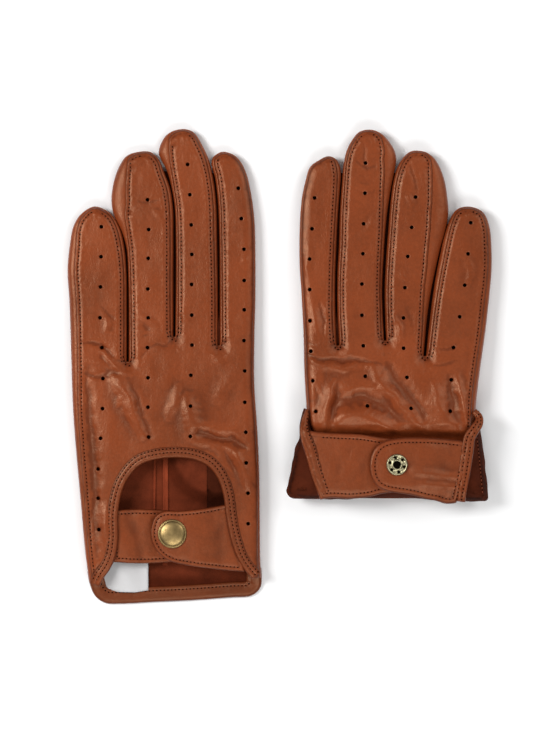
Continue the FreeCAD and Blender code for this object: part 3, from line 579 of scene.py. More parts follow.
def lathe(glove, name, centre, profile, finish, steps=72):
    """A turned solid about an upright axis. Each profile corner is (radius, height)."""
    rings = np.array(profile, float)
    points, faces = [], []
    for radius, height in rings:
        for step in range(steps):
            angle = 2 * math.pi * step / steps
            points.append((centre[0] + radius * math.cos(angle),
                           centre[1] + radius * math.sin(angle), centre[2] + height))
    for row in range(len(rings) - 1):
        for step in range(steps):
            a = row * steps + step
            b = row * steps + (step + 1) % steps
            faces.append((a, b, b + steps, a + steps))
    return finish_mesh(glove.make(name, points, faces, [finish_of(finish)]))


def ribbon(glove, name, sections, materials, closed=False, kinds=None):
    """A skin through a run of cross-sections; each is a list of (x, y, z)."""
    sections = np.array(sections, float)
    rows, across = sections.shape[:2]
    faces, marks = [], []
    for i in range(rows - 1):
        for j in range(across if closed else across - 1):
            k = (j + 1) % across
            faces.append((i * across + j, (i + 1) * across + j, (i + 1) * across + k,
                          i * across + k))
            marks.append(0 if kinds is None else kinds[j])
    if closed:
        faces.append(tuple(range(across)))
        faces.append(tuple((rows - 1) * across + j for j in reversed(range(across))))
        marks += [0, 0]
    return glove.make(name, sections.reshape(-1, 3), faces, materials, marks)


# ---- the glove's own frame and surface --------------------------------------------------------

def steps_between(value, table):
    """A reading of a (position, value) table, straight between its rows."""
    table = np.array(table, float)
    return np.interp(value, table[:, 0], table[:, 1])


class Glove:
    """One glove: its pattern, its place and the heights of its leather."""

    def __init__(self, name, mirror, centre, hem, lift, fingers, hem_line, vents, creases,
                 fields, heights):
        self.name = name
        self.mirror = mirror
        self.centre = centre
        self.hem = hem
        self.lift = lift
        self.vents = vents
        self.heights = heights
        self.creases = tuple((smooth(line, 2.0), width, height) for line, width, height in creases)
        self.wrinkles = tuple(scattered_wrinkles(fields, 7 + mirror))
        runs = [smooth(finger, 1.0) for finger in fingers]
        self.starts = np.cumsum([0] + [len(run) for run in runs])
        self.edge = np.vstack(runs)
        self.tips = [self.starts[i] + int(np.argmax(runs[i][:, 1])) for i in range(4)]
        self.normal = softened(inward(self.edge), 2)
        self.turn = softened(self.edge[:, 2], 3)
        self.hem_line = smooth(hem_line, 1.0)
        self.loop = np.vstack([self.edge[:, :2], self.hem_line[1:-1]])
        self.wrinkles += tuple(self.gathers())
        self.near = Nearest(self.edge[:, :2], 0.35)
        self.rim = self.edge[:, :2] + self.normal * self.turn[:, None]
        self.rim_near = Nearest(self.rim, 0.35)

    def make(self, name, points, faces, materials, kinds=None):
        """Turn points of the glove's frame, in millimetres, into an object of the model."""
        points = np.array(points, float)
        place = np.array([[self.mirror, 1, 1]]) * points
        place += np.array([[self.centre, self.hem, self.lift]])
        if self.mirror < 0:
            faces = [tuple(reversed(tuple(f))) for f in faces]
        return make_object(name, place * MM, faces, materials, kinds)

    def slits(self):
        """The bottom of each gap between two fingers."""
        return [self.edge[start - 1:start + 1, :2].mean(axis=0) for start in self.starts[1:4]]

    def gathers(self):
        """Small gathers where the leather is drawn in, at the fingertips and below the slits."""
        for tip in self.tips:
            x, y = self.edge[tip, :2]
            for lean in (-5.5, -3, -0.6, 2, 4.6):
                yield [(x + lean * 0.75, y - 2.6 - abs(lean) * 0.2),
                       (x + lean * 1.25, y - 9 + abs(lean))], 0.85, -0.24
        for x, y in self.slits():
            for lean, reach in ((-4, 3), (-1.8, 5.5), (0.3, 7), (2.4, 5), (4.4, 2.6)):
                yield [(x + lean * 0.3, y - 1.6), (x + lean * 1.3, y - 2 - reach)], 0.9, -0.26

    def put(self, point):
        """One point of the glove's frame as a place in the model, in metres."""
        return Vector(((self.mirror * point[0] + self.centre) * MM, (point[1] + self.hem) * MM,
                       (point[2] + self.lift) * MM))

    # heights

    def crown(self, y):
        """Height of the back's middle."""
        return steps_between(y, self.heights["crown"])

    def flank(self, y):
        """Height at which a side stands furthest out."""
        return steps_between(y, self.heights["flank"])

    def crease(self, points):
        """Soft folds and creases of the back."""
        total = np.zeros(len(points))
        start = points
        for size, reach, seed in ((8, 1.5, 4.0), (2.4, 0.45, 2.0)):
            drift = [uneven(start, size, size, self.mirror * seed, shift) for shift in (0.0, 31.0)]
            points = points + reach * np.stack(drift, axis=1)
        for line, width, height in self.creases + self.wrinkles:
            bend = np.array(line, float)
            low, high = bend.min(axis=0) - 3 * width, bend.max(axis=0) + 3 * width
            near = np.all((points > low) & (points < high), axis=1)
            if near.any():
                step = 0.6 * height if width < 2.4 else 0.0
                share = 0.75 if low[1] > 140 else 1.1
                total[near] += stroke(points[near], bend, width, height * share, step)
        return total

    def ripple(self, points):
        """The uneven surface of worn leather."""
        seed = 13.7 * self.mirror
        return (0.75 * uneven(points, 26, 34, seed, seed)
                + 0.16 * uneven(points, 7, 10, 5 + seed, seed))

    def back(self, points):
        """Top of the back panel before its seams."""
        points = np.asarray(points, float)[:, :2]
        gap = self.near.gap(points)
        roll = steps_between(points[:, 1], self.heights["roll"])
        share = 1 - np.clip(gap / roll, 0, 1)
        crown, flank = self.crown(points[:, 1]), self.flank(points[:, 1])
        height = flank + (crown - flank) * np.sqrt(np.maximum(1 - share ** 2, 0))
        ease = np.clip(gap / 3.0, 0, 1)
        return height + ease * (self.crease(points) + self.ripple(points))

    def seam(self, points):
        """The channel that a row of stitches pulls into the leather beside a sewn edge."""
        gap = self.rim_near.gap(points)
        inset = sizes().seam_inset / MM
        pucker = uneven(points, 1.1, 1.1, 2.0)
        ridge = (0.10 + 0.24 * pucker) * np.exp(-((gap - 0.8) / 0.6) ** 2)
        valley = (-0.30 + 0.15 * pucker) * np.exp(-((gap - inset) / 0.6) ** 2)
        bank = (0.10 + 0.25 * pucker) * np.exp(-((gap - inset - 1.4) / 1.0) ** 2)
        drop = -0.10 * np.exp(-(gap / 0.25) ** 2)
        return (ridge + valley + bank + drop) * self.sewn(points)

    def sewn(self, points):
        """1 beside a sewn edge, 0 along the index finger's folded side."""
        x, y = points[:, 0], points[:, 1]
        return np.where(x > 37.5 - np.maximum(y - 205, 0) * 0.18, 0.0, 1.0)

    def face(self, points):
        """Top of the back panel."""
        points = np.asarray(points, float)[:, :2]
        return self.back(points) + self.seam(points)

    def under(self, points):
        """Bottom of the palm, raised over the folded thumb."""
        points = np.asarray(points, float)[:, :2]
        share = 1 - np.clip(self.near.gap(points) / 5.0, 0, 1)
        floor = 0.15 + 1.6 * (1 - np.sqrt(np.maximum(1 - share ** 2, 0)))
        over = distance_to_line(points, THUMB_LINE)
        bump = 5.6 * np.clip(1 - (over - THUMB_HALF) / 16.0, 0, 1)
        bump = bump * bump * (3 * 5.6 - 2 * bump) / 5.6 ** 2
        return np.maximum(floor, bump + 0.3)


def make_gloves():
    """Both gloves, placed by their snap fasteners in the frame."""
    cap_low, cap_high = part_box("left_snap_cap")
    ring_low, ring_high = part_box("right_snap_eyelet")
    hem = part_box("left_palm_panel")[0].y / MM
    left = Glove("left", 1, (cap_low.x + cap_high.x) / 2 / MM - LEFT_SNAP[0], hem, 0.0,
                 LEFT_FINGERS, LEFT_HEM, LEFT_VENTS, LEFT_CREASES, LEFT_WRINKLES, LEFT_HEIGHTS)
    right = Glove("right", -1, (ring_low.x + ring_high.x) / 2 / MM + RIGHT_SNAP[0], hem,
                  RIGHT_LIFT, RIGHT_FINGERS, RIGHT_HEM, RIGHT_VENTS, RIGHT_CREASES,
                  RIGHT_WRINKLES, RIGHT_HEIGHTS)
    return left, right


GLOVES = {}
SEAMS = {}            # stitch rows waiting to be sewn, by body name


def sew(body, glove, path, heights):
    """Remember one row of stitches: points of the glove's frame with their heights."""
    row = [glove.put((x, y, z)) for (x, y), z in zip(path[:, :2], heights)]
    SEAMS.setdefault(body, []).append(row)


# ---- materials --------------------------------------------------------------------------------

def new_material(name):
    """An empty node material with its Principled shader."""
    material = bpy.data.materials.new(name)
    material.use_nodes = True
    nodes = material.node_tree.nodes
    nodes.clear()
    output = nodes.new("ShaderNodeOutputMaterial")
    shader = nodes.new("ShaderNodeBsdfPrincipled")
    material.node_tree.links.new(shader.outputs[0], output.inputs["Surface"])
    return material, material.node_tree, shader


def node(tree, kind, inputs=None, **settings):
    """One shader node with its settings and unlinked inputs."""
    made = tree.nodes.new("ShaderNode" + kind)
    for name, value in settings.items():
        setattr(made, name, value)
    for name, value in (inputs or {}).items():
        made.inputs[name].default_value = value
    return made


def noise_field(tree, scale, detail=4.0, roughness=0.55, stretch=(1, 1, 1)):
    """Noise in the piece's own coordinates, scale in repeats per metre."""
    place = node(tree, "TexCoord")
    mapping = node(tree, "Mapping", {"Scale": stretch})
    field = node(tree, "TexNoise", {"Scale": scale, "Detail": detail, "Roughness": roughness})
    tree.links.new(place.outputs["Object"], mapping.inputs["Vector"])
    tree.links.new(mapping.outputs["Vector"], field.inputs["Vector"])
    return field.outputs["Fac"]


def ramp(tree, source, stops):
    """Colours between set stops: (position, colour)."""
    made = node(tree, "ValToRGB")
    while len(made.color_ramp.elements) < len(stops):
        made.color_ramp.elements.new(0.5)
    for element, (position, colour) in zip(made.color_ramp.elements, stops):
        element.position = position
        element.color = (*colour, 1)
    tree.links.new(source, made.inputs["Fac"])
    return made.outputs["Color"]


def mixed(tree, share, first, second, blend="MIX"):
    """Two colours mixed by a share; each may be a socket or a colour."""
    made = node(tree, "MixRGB", blend_type=blend)
    for socket, value in zip(made.inputs, (share, first, second)):
        if hasattr(value, "is_output"):
            tree.links.new(value, socket)
        elif isinstance(value, (int, float)):
            socket.default_value = value
        else:
            socket.default_value = (*value, 1)
    return made.outputs[0]


def bumped(tree, shader, layers):
    """Stack bump layers on the shader: (height socket, strength, distance in metres)."""
    previous = None
    for height, strength, distance in layers:
        bump = node(tree, "Bump", {"Strength": strength, "Distance": distance})
        tree.links.new(height, bump.inputs["Height"])
        if previous is not None:
            tree.links.new(previous, bump.inputs["Normal"])
        previous = bump.outputs["Normal"]
    tree.links.new(previous, shader.inputs["Normal"])


def shade(colour, factor):
    """A colour made lighter or darker."""
    return tuple(min(1.0, channel * factor) for channel in colour)


def crackle(tree, scale, warp, width):
    """Fine meandering crease lines, 1 on the leather and 0 in a crease."""
    place = node(tree, "TexCoord")
    bend = node(tree, "TexNoise", {"Scale": scale * 0.9, "Detail": 3.0})
    shift = node(tree, "VectorMath", operation="SCALE")
    shift.inputs["Scale"].default_value = warp
    moved = node(tree, "VectorMath", operation="ADD")
    cells = node(tree, "TexVoronoi", {"Scale": scale}, feature="DISTANCE_TO_EDGE")
    tree.links.new(place.outputs["Object"], bend.inputs["Vector"])
    tree.links.new(bend.outputs["Color"], shift.inputs[0])
    tree.links.new(shift.outputs[0], moved.inputs[1])
    tree.links.new(place.outputs["Object"], moved.inputs[0])
    tree.links.new(moved.outputs[0], cells.inputs["Vector"])
    step = node(tree, "MapRange", {"From Max": width}, interpolation_type="SMOOTHSTEP")
    tree.links.new(cells.outputs["Distance"], step.inputs["Value"])
    return step.outputs[0]


def dye_with_painted_shade(tree, shade_and_wear, dye, dark):
    """The dye darkened by painted shade, most in the creases and at the edges."""
    share = node(tree, "MapRange", {"From Min": -1.0})
    tree.links.new(shade_and_wear.outputs["Fac"], share.inputs["Value"])
    depth = ramp(tree, share.outputs[0], [(0.5, (1.0, 1.0, 1.0)),
                                          (1.0, (dark, dark * 0.80, dark * 0.64))])
    return mixed(tree, 1.0, dye, depth, "MULTIPLY")


def nappa(name, colour, gloss):
    """Smooth glove leather: fine pores, faint creases, mottled dye and a soft polish."""
    material, tree, shader = new_material(name)
    clouds = noise_field(tree, 26, 6, 0.62)
    dye = ramp(tree, clouds, [(0.30, shade(colour, 0.72)), (0.52, colour),
                              (0.76, shade(colour, 1.25))])
    speck = noise_field(tree, 700, 3, 0.6)
    dye = mixed(tree, 0.20, dye, ramp(tree, speck, [(0.35, shade(colour, 0.6)),
                                                    (0.65, shade(colour, 1.35))]))
    lines = crackle(tree, 300, 0.006, 0.14)
    shade_and_wear = node(tree, "Attribute", attribute_name="shade_and_wear")
    # painted shade: the dye is darker where the vertex attribute marks a valley or an edge
    tree.links.new(dye_with_painted_shade(tree, shade_and_wear, dye, 0.50), shader.inputs["Base Color"])
    polish = node(tree, "MapRange", {"To Min": gloss - 0.08, "To Max": gloss + 0.14})
    tree.links.new(noise_field(tree, 70, 5, 0.65), polish.inputs["Value"])
    matt = node(tree, "Math", operation="MULTIPLY_ADD")
    matt.inputs[1].default_value = 0.03
    tree.links.new(shade_and_wear.outputs["Fac"], matt.inputs[0])
    tree.links.new(polish.outputs[0], matt.inputs[2])
    tree.links.new(matt.outputs[0], shader.inputs["Roughness"])
    pores = node(tree, "TexVoronoi", {"Scale": 1500.0, "Randomness": 1.0}, feature="SMOOTH_F1")
    place = node(tree, "TexCoord")
    tree.links.new(place.outputs["Object"], pores.inputs["Vector"])
    fine = noise_field(tree, 330, 6, 0.65, (1, 0.6, 1))
    wide = noise_field(tree, 95, 6, 0.62, (1, 0.5, 1))
    bumped(tree, shader, [(wide, 0.45, 0.0011), (lines, 0.11, 0.00012), (fine, 0.42, 0.0004),
                          (pores.outputs["Distance"], 0.18, 0.00025)])
    shader.inputs["Specular IOR Level"].default_value = 0.50
    shader.inputs["Specular Tint"].default_value = (1.0, 0.66, 0.42, 1)
    return material


def suede(name, colour):
    """The flesh side: short nap, no gloss."""
    material, tree, shader = new_material(name)
    clouds = noise_field(tree, 45, 6, 0.7)
    nap = ramp(tree, clouds, [(0.3, shade(colour, 0.6)), (0.7, shade(colour, 1.5))])
    shade_and_wear = node(tree, "Attribute", attribute_name="shade_and_wear")
    # painted shade: the nap is darker where the vertex attribute marks a valley or an edge
    tree.links.new(dye_with_painted_shade(tree, shade_and_wear, nap, 0.4), shader.inputs["Base Color"])
    shader.inputs["Roughness"].default_value = 0.8
    shader.inputs["Specular IOR Level"].default_value = 0.10
    shader.inputs["Specular Tint"].default_value = (1.0, 0.6, 0.4, 1)
    bumped(tree, shader, [(noise_field(tree, 420, 6, 0.7), 0.5, 0.0005),
                          (noise_field(tree, 1600, 3, 0.7), 0.5, 0.0003)])
    return material


def plain(name, colour, rough, metal=0.0, scale=700.0, depth=0.0002, spread=0.25, gloss=0.5):
    """A finish with a little mottling and texture: thread, cut edges, metal and cloth."""
    material, tree, shader = new_material(name)
    grain = noise_field(tree, scale, 5, 0.6)
    tone = ramp(tree, grain, [(0.3, shade(colour, 1 - spread)), (0.7, shade(colour, 1 + spread))])
    tree.links.new(tone, shader.inputs["Base Color"])
    shader.inputs["Metallic"].default_value = metal
    shader.inputs["Specular IOR Level"].default_value = gloss
    shader.inputs["Roughness"].default_value = rough
    bumped(tree, shader, [(grain, 0.35, depth)])
    return material


def satin_weave(name, colour):
    """White satin label cloth with a fine weave."""
    material, tree, shader = new_material(name)
    place = node(tree, "TexCoord")
    across = node(tree, "TexWave", {"Scale": 900.0, "Distortion": 0.4}, bands_direction="X")
    along = node(tree, "TexWave", {"Scale": 1300.0, "Distortion": 0.4}, bands_direction="Y")
    for wave in (across, along):
        tree.links.new(place.outputs["Object"], wave.inputs["Vector"])
    weave = mixed(tree, 0.5, across.outputs["Color"], along.outputs["Color"])
    tone = mixed(tree, 0.18, colour, weave, "MULTIPLY")
    tree.links.new(tone, shader.inputs["Base Color"])
    shader.inputs["Roughness"].default_value = 0.45
    shader.inputs["Sheen Weight"].default_value = 0.3
    bumped(tree, shader, [(noise_field(tree, 60, 4, 0.6), 0.4, 0.0008), (weave, 0.3, 0.0001)])
    return material


FINISHES = {}


def finish_of(name):
    """One of the gloves' materials by name; all are made at the first call."""
    if not FINISHES:
        tone = colours()
        FINISHES.update(
            nappa=nappa("nappa", tuple(tone.nappa), 0.35),
            strap=nappa("strap_nappa", shade(tone.nappa, 0.96), 0.38),
            turned=nappa("turned_strap_nappa", shade(tone.nappa, 0.89), 0.38),
            trim=nappa("binding_nappa", shade(tone.nappa, 0.82), 0.38),
            suede=suede("suede", tuple(tone.suede)),
            hem=nappa("hem_nappa", shade(tone.nappa, 0.62), 0.36),
            inner=suede("seam_suede", shade(tone.suede, 1.5)),
            flap=suede("cuff_suede", shade(tone.suede, 0.42)),
            gusset=suede("gusset_shade", shade(tone.suede, 0.45)),
            cut=plain("cut_edge", shade(tone.suede, 0.5), 0.85, gloss=0.1),
            thread=plain("thread", shade(tone.thread, 1.7), 0.6, scale=2500.0, gloss=0.25),
            # near-black dots: painted shadow inside the needle holes
            hole=plain("needle_hole_shadow", shade(tone.suede, 0.10), 0.95, gloss=0.0),
            brass=plain("antique_brass", tuple(tone.brass), 0.40, 1.0, 500.0, 0.00006, 0.25),
            eyelet=plain("eyelet_brass", (0.40, 0.36, 0.22), 0.36, 1.0, 900.0, 0.00005, 0.3),
            steel=plain("plated_steel", (0.42, 0.40, 0.36), 0.35, 1.0, 700.0, 0.00005, 0.2),
            dark=plain("shadow_metal", (0.004, 0.003, 0.002), 0.9, gloss=0.0),
            label=satin_weave("label_satin", tuple(tone.label)))
    return FINISHES[name]


def dressed(names):
    """The materials of a sheet's face, back and edge; one name dresses all three."""
    names = names.split()
    return [finish_of(name) for name in (names if len(names) > 1 else names * 3)]


# ---- pieces -----------------------------------------------------------------------------------

def circle(x, y, radius, count):
    """Points round a circle."""
    return [(x + radius * math.cos(a), y + radius * math.sin(a))
            for a in np.linspace(0, 2 * math.pi, count, endpoint=False)]


def closed(loop, step):
    """A closed loop, evenly spaced, without its last point."""
    return respaced(np.vstack([loop, loop[:1]]), step)[:-1]


def vent_loops(glove):
    """The round holes punched in the back."""
    radius = sizes().vent_radius / MM
    rng = random.Random(5)
    loops = []
    for line, count in glove.vents:
        path = respaced(smooth(line, 1.0), 0.2)
        run = arc_length(path)
        for place in np.linspace(0, run[-1], count):
            x = np.interp(place, run, path[:, 0]) + rng.uniform(-0.25, 0.25)
            y = np.interp(place, run, path[:, 1]) + rng.uniform(-0.35, 0.35)
            loops.append(circle(x, y, radius, 12))
    return loops


def free_points(loop, step, clear, rows=(), holes=()):
    """Set rows, and grid points inside a loop that keep clear of its edge and of its holes."""
    grid = grid_points(loop, step)
    grid = grid[inside(grid, loop)]
    grid = grid[Nearest(loop, 0.5, True).gap(grid) > clear]
    rows = np.array(rows, float).reshape(-1, 2)
    for hole in holes:
        centre = np.mean(hole, axis=0)
        radius = np.linalg.norm(np.array(hole[0]) - centre) + step * 0.45
        grid = grid[np.linalg.norm(grid - centre, axis=1) > radius]
        ring = [centre + (np.array(p) - centre) * 1.55 for p in hole]
        rows = np.vstack([rows, ring])
    return np.vstack([rows, grid])


def back_panel(glove, keyhole):
    """The back of the hand, with its vents and its cuff cut to the keyhole."""
    cuff = glove.hem_line[1:-1] if keyhole is None else keyhole[::-1]
    loop = np.vstack([glove.rim, cuff])
    rows = ring_points(glove.rim, SEAM_ROWS, glove.normal, glove.rim_near)
    rows = rows[inside(rows, loop)]
    holes = vent_loops(glove)
    free = free_points(loop, sizes().mesh_step / MM, 4.6, rows, holes)
    thick = sizes().leather / MM
    return slab(glove, glove.name + "_back", loop, free, glove.face,
                lambda p: glove.face(p) - thick, "nappa suede cut", holes)


def round_side(edge, normal, rim, palm, top, flank, low):
    """Cross-sections of leather that rolls from a top edge, round a side, to a lower edge."""
    sections = []
    for i in range(len(edge)):
        rows = [(*(rim[i] + normal[i] * 1.0), top[i] - 0.35)]
        for angle in np.radians((0, 22, 45, 68, 90)):
            spot = rim[i] + (edge[i] - rim[i]) * math.sin(angle)
            rows.append((*spot, flank[i] + (top[i] - flank[i]) * math.cos(angle)))
        for angle in np.radians((66, 42, 18, 0)):
            spot = edge[i] + (palm[i] - edge[i]) * (1 - math.sin(angle))
            rows.append((*spot, flank[i] - (flank[i] - low[i]) * math.cos(angle)))
        rows.append((*(palm[i] + normal[i] * 0.9), low[i] + 0.25))
        sections.append(thickened(np.array(rows), normal[i], 0.6))
    return sections


def side_sections(glove, first, last):
    """Cross-sections of the side leather, from under the back panel's edge round to the palm."""
    span = slice(first, last)
    edge, normal = glove.edge[span, :2], glove.normal[span]
    rim = glove.rim[span]
    top = glove.face(rim) - 0.35
    flank = np.minimum(glove.flank(edge[:, 1]), top - 0.3)
    palm = edge + normal * 1.8
    return round_side(edge, normal, rim, palm, top, flank, glove.under(palm))


def thickened(rows, normal, thick):
    """A cross-section closed by its own inner side."""
    ahead = np.gradient(rows, axis=0)
    flat = ahead[:, :2] @ normal
    length = np.maximum(np.hypot(flat, ahead[:, 2]), 1e-6)
    inner = rows.copy()
    inner[:, :2] += (-ahead[:, 2] / length)[:, None] * normal * thick
    inner[:, 2] += flat / length * thick
    return np.vstack([rows, inner[::-1]])


def side_skin(glove, name, sections, finish):
    """A closed strip of leather through cross-sections of a side."""
    half = len(sections[0]) // 2
    kinds = [0] * (half - 1) + [2] + [1] * (half - 1) + [2]
    return finish_mesh(ribbon(glove, name, sections, dressed(finish), True, kinds))


def side_strip(glove, name, first, last):
    """One run of side leather as a closed strip."""
    return side_skin(glove, name, side_sections(glove, first, last), "nappa suede cut")


def finger_web(glove, name, first, last, top):
    """The bottom of one gap between fingers, where the gusset's two sides meet."""
    span = glove.edge[first:last, :2] + glove.normal[first:last] * 0.9
    loop = span[glove.edge[first:last, 1] < top]

    def low(points):
        return np.maximum(glove.under(points), 1.0) + 0.2

    return slab(glove, name, closed(loop, 1.0), (), lambda p: low(p) + 1.3, low, "gusset")


def palm_panel(glove):
    """The palm, on the table, with painted shade inside towards its hem."""
    palm = glove.edge[:, :2] + glove.normal * 1.8
    loop = np.vstack([palm, glove.hem_line[1:-1]])
    rows = ring_points(palm, (1.0, 2.2), glove.normal, Nearest(palm, 0.35))
    rows = rows[inside(rows, loop)]
    thick = sizes().leather / MM
    return slab(glove, glove.name + "_palm", loop, free_points(loop, 1.6, 3.0, rows),
                lambda p: glove.under(p) + thick, glove.under, "suede nappa cut",
                # painted shade: the inside of the cuff is darker towards the hem
                painted_shade=lambda p: 0.9 * np.clip((17 - p[:, 1]) / 5, 0, 1))


def stretches(good, shortest):
    """Where each long enough run of good points starts and ends."""
    ends = np.flatnonzero(np.diff(np.concatenate([[0], good.astype(int), [0]])))
    return [(start, end) for start, end in ends.reshape(-1, 2) if end - start > shortest]


def seam_rows(glove, body):
    """Stitch rows along every sewn edge of the back panel."""
    inset = sizes().seam_inset / MM
    row = glove.rim + glove.normal * inset
    good = (np.abs(glove.rim_near.gap(row) - inset) < 0.35) & (glove.sewn(row) > 0.5)
    for tip in glove.tips:
        good[max(0, tip - 3):tip + 4] = False
    for start, end in stretches(good, 6):
        path = softened(row[start:end], 2)
        sew(body, glove, path, glove.face(path) + 0.02)


def slit_rows(glove, body):
    """The stitches that turn round the bottom of each gap between the fingers."""
    for x, y in glove.slits():
        path = smooth([(x - 2.3, y + 3.4), (x - 2.0, y + 0.6), (x - 0.1, y - 2.3),
                       (x + 1.9, y + 0.6), (x + 2.3, y + 3.4)], 0.8)
        sew(body, glove, path, glove.face(path) + 0.05)


def glove_body(glove, body, keyhole=None):
    """Back, palm, fourchettes and the palm's turned-up sides of one glove."""
    n = glove.name
    back = back_panel(glove, keyhole)
    tips, count = glove.tips, len(glove.edge)
    parts = [palm_panel(glove), side_strip(glove, n + "_side", 0, tips[0] + 1),
             side_strip(glove, n + "_side2", tips[3], count)]
    if keyhole is None:
        parts += sleeve(glove)
        back = join(n + "_back", [back, flap(glove, "index_flap", INDEX_FLAP),
                                  flap(glove, "little_flap", LITTLE_FLAP,
                                       LITTLE_FLAP_ROW)])
    else:
        parts += inner_palm(glove)
    palm = join(n + "_palm", parts)
    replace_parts(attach(back, body), n + "_back_panel")
    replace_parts(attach(palm, body), n + "_palm_panel")
    names = ("little_ring", "ring_middle", "middle_index")
    for name, first, last, top in zip(names, tips, tips[1:], WEB_TOPS):
        strip = side_strip(glove, "gusset", first, last + 1)
        web = finger_web(glove, "web", first, last + 1, top)
        fork = join("%s_%s_gusset" % (n, name), [strip, web])
        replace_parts(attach(fork, body), "%s_%s_fourchette" % (n, name))
    seam_rows(glove, body)
    slit_rows(glove, body)


def thumb(glove, body):
    """The thumb tube, pressed flat under the palm."""
    line = smooth(THUMB_LINE, 1.0)
    side = inward(line) * THUMB_HALF
    tip = line[-1]
    heading = math.atan2(*(line[-1] - line[-3])[::-1])
    arc = [tip + THUMB_HALF * np.array([math.cos(a), math.sin(a)])
           for a in np.linspace(heading + math.pi / 2, heading - math.pi / 2, 34)[1:-1]]
    loop = np.vstack([line - side, arc, (line + side)[::-1]])
    near = Nearest(loop, 0.3)

    def swell(points):
        share = 1 - np.clip(near.gap(points) / 4.0, 0, 1)
        return 2.55 * np.sqrt(np.maximum(1 - share ** 2, 0)) + 0.12

    piece = slab(glove, glove.name + "_thumb_tube", loop, free_points(loop, 1.2, 0.5),
                 lambda p: THUMB_MIDDLE + swell(p), lambda p: THUMB_MIDDLE - swell(p), "nappa")
    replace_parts(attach(piece, body), glove.name + "_thumb")
    row = respaced(loop[6:-6], 1.0)
    sew(body, glove, row, np.full(len(row), THUMB_MIDDLE))


# ---- keyhole binding, hem and label of the left cuff ------------------------------------------

BINDING_SHAPE = [(0.6, -1.3), (-0.35, -1.0), (-0.75, -0.3), (-0.5, 0.45), (0.3, 0.85),
                 (1.3, 0.85), (2.0, 0.5), (2.7, 0.9), (3.3, 0.82), (4.0, 0.42), (4.6, 0.55),
                 (4.95, 0.3), (5.0, -0.2)]
BINDING_ROWS = ((2.0, 0.52), (4.0, 0.46))


def binding(glove, name, path, base, shape, rows, body, taper=0.0, pucker=0.24):
    """A folded strip sewn along an edge: its cross-section follows the path."""
    normal = softened(-inward(path), 4)
    sections = []
    level = base(path)
    widths = 1 - abs(taper) * np.clip(np.linspace(-1.2, 1, len(path)), 0, 1) ** 1.5
    widths = widths[::-1] if taper < 0 else widths
    for point, side, height, width in zip(path, normal, level, widths):
        row = []
        for out, up in shape:
            spot = point[:2] + side * out * width
            row.append((*spot, height + up + pucker * noise.noise((*(spot / 1.5), 4.0))))
        sections.append(row)
    piece = ribbon(glove, name, sections, [finish_of("trim")], True)
    # painted shade: the lower rows of the section, in its channels and underneath, are darker
    add_shade_and_wear(piece, np.tile(np.clip([(0.72 - up) / 0.45 for _, up in shape], -0.5, 1), len(path)))
    for out, up in rows:
        row = path[2:-2, :2] + normal[2:-2] * (out * widths[2:-2])[:, None]
        sew(body, glove, row, level[2:-2] + up + 0.05)
    return finish_mesh(piece)


def left_binding(glove, body):
    """The binding round the left keyhole, with two rows of stitches."""
    path = smooth(LEFT_KEYHOLE, 1.0)

    def base(points):
        points = np.asarray(points, float)
        return glove.back(points) - 0.25 * np.maximum(15 - points[:, 1], 0)

    piece = binding(glove, "left_binding", path, base, BINDING_SHAPE, BINDING_ROWS, body)
    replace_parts(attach(piece, body), "left_keyhole_binding")


def left_hem(glove, body):
    """The facing that finishes the palm's hem."""
    path = smooth([(49.7, 19)] + LEFT_HEM + [(-40.4, 17)], 1.0)
    shape = [(-0.2, 0.1), (-0.3, 0.9), (0.2, 1.9), (1.4, 2.3), (3.2, 2.25), (5.0, 2.0),
             (5.7, 1.75), (6.4, 2.1), (7.3, 2.1), (7.8, 1.5), (7.7, 0.9), (4.0, 0.6)]
    normal = inward(path)
    ends = np.minimum(np.arange(len(path)), np.arange(len(path))[::-1])
    rise = 3.4 * np.clip(1 - ends / 13, 0, 1) ** 2
    sections = []
    for point, side, lift in zip(path, normal, rise):
        sections.append([(*(point[:2] + side * out), up + lift) for out, up in shape])
    piece = finish_mesh(ribbon(glove, "left_hem", sections, [finish_of("hem")], True))
    row = path[10:-10, :2] + normal[10:-10] * 5.7
    sew(body, glove, row, 1.9 + rise[10:-10])
    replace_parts(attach(piece, body), "left_hem_facing")


def inner_palm(glove):
    """Seam ridges and the thumb's turned edge on the inside of the left palm."""
    shape = [(-2.6, 0.5), (-2.4, 1.2), (-1.8, 1.75), (-1.2, 1.35), (0.8, 1.3), (1.4, 1.8),
             (2.0, 1.2), (2.2, 0.5)]
    seams = []
    for line in ([(-0.4, 20), (0, 50), (-0.3, 82)], [(-6.4, 24), (-6, 50), (-5.6, 80)]):
        path = smooth(line, 1.0)
        level = glove.under(path) + 0.2
        side = -inward(path)
        width = 0.62 if line[0][0] > -3 else 0.28
        sections = [[(*(p[:2] + w * out * width), z + up) for out, up in shape]
                    for p, w, z in zip(path, side, level)]
        seams.append(finish_mesh(ribbon(glove, "inner_seam", sections, [finish_of("inner")],
                                        True)))
    loop = respaced(np.array([(21.5, 30), (21.8, 84), (42, 84), (42, 30), (21.5, 30)], float),
                    1.0)[:-1]
    turn = slab(glove, "thumb_turn", loop, free_points(loop, 1.6, 0.7),
                lambda p: glove.under(p) + 2.1, lambda p: glove.under(p) + 1.0, "flap")
    return seams + [turn]


def left_label(glove, body):
    """The size label, blank, sewn into the cuff by its upper edge."""
    loop = closed([(-9, 7), (-9, 34), (-34, 34), (-34, 12.5), (-31, 8), (-25, 6.2), (-16, 6)],
                  1.0)

    def lie(points):
        x, y = points[:, 0], points[:, 1]
        return (3.0 + 1.0 * np.sin(x / 3.6 + y / 9) + 0.05 * (y - 7)
                + 0.35 * np.sin(y / 3.2 + x / 6.0))

    piece = slab(glove, "left_label_cloth", loop, free_points(loop, 1.2, 0.7), lie,
                 lambda p: lie(p) - 0.25, "label")
    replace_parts(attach(piece, body), "left_label")


# ---- straps -----------------------------------------------------------------------------------

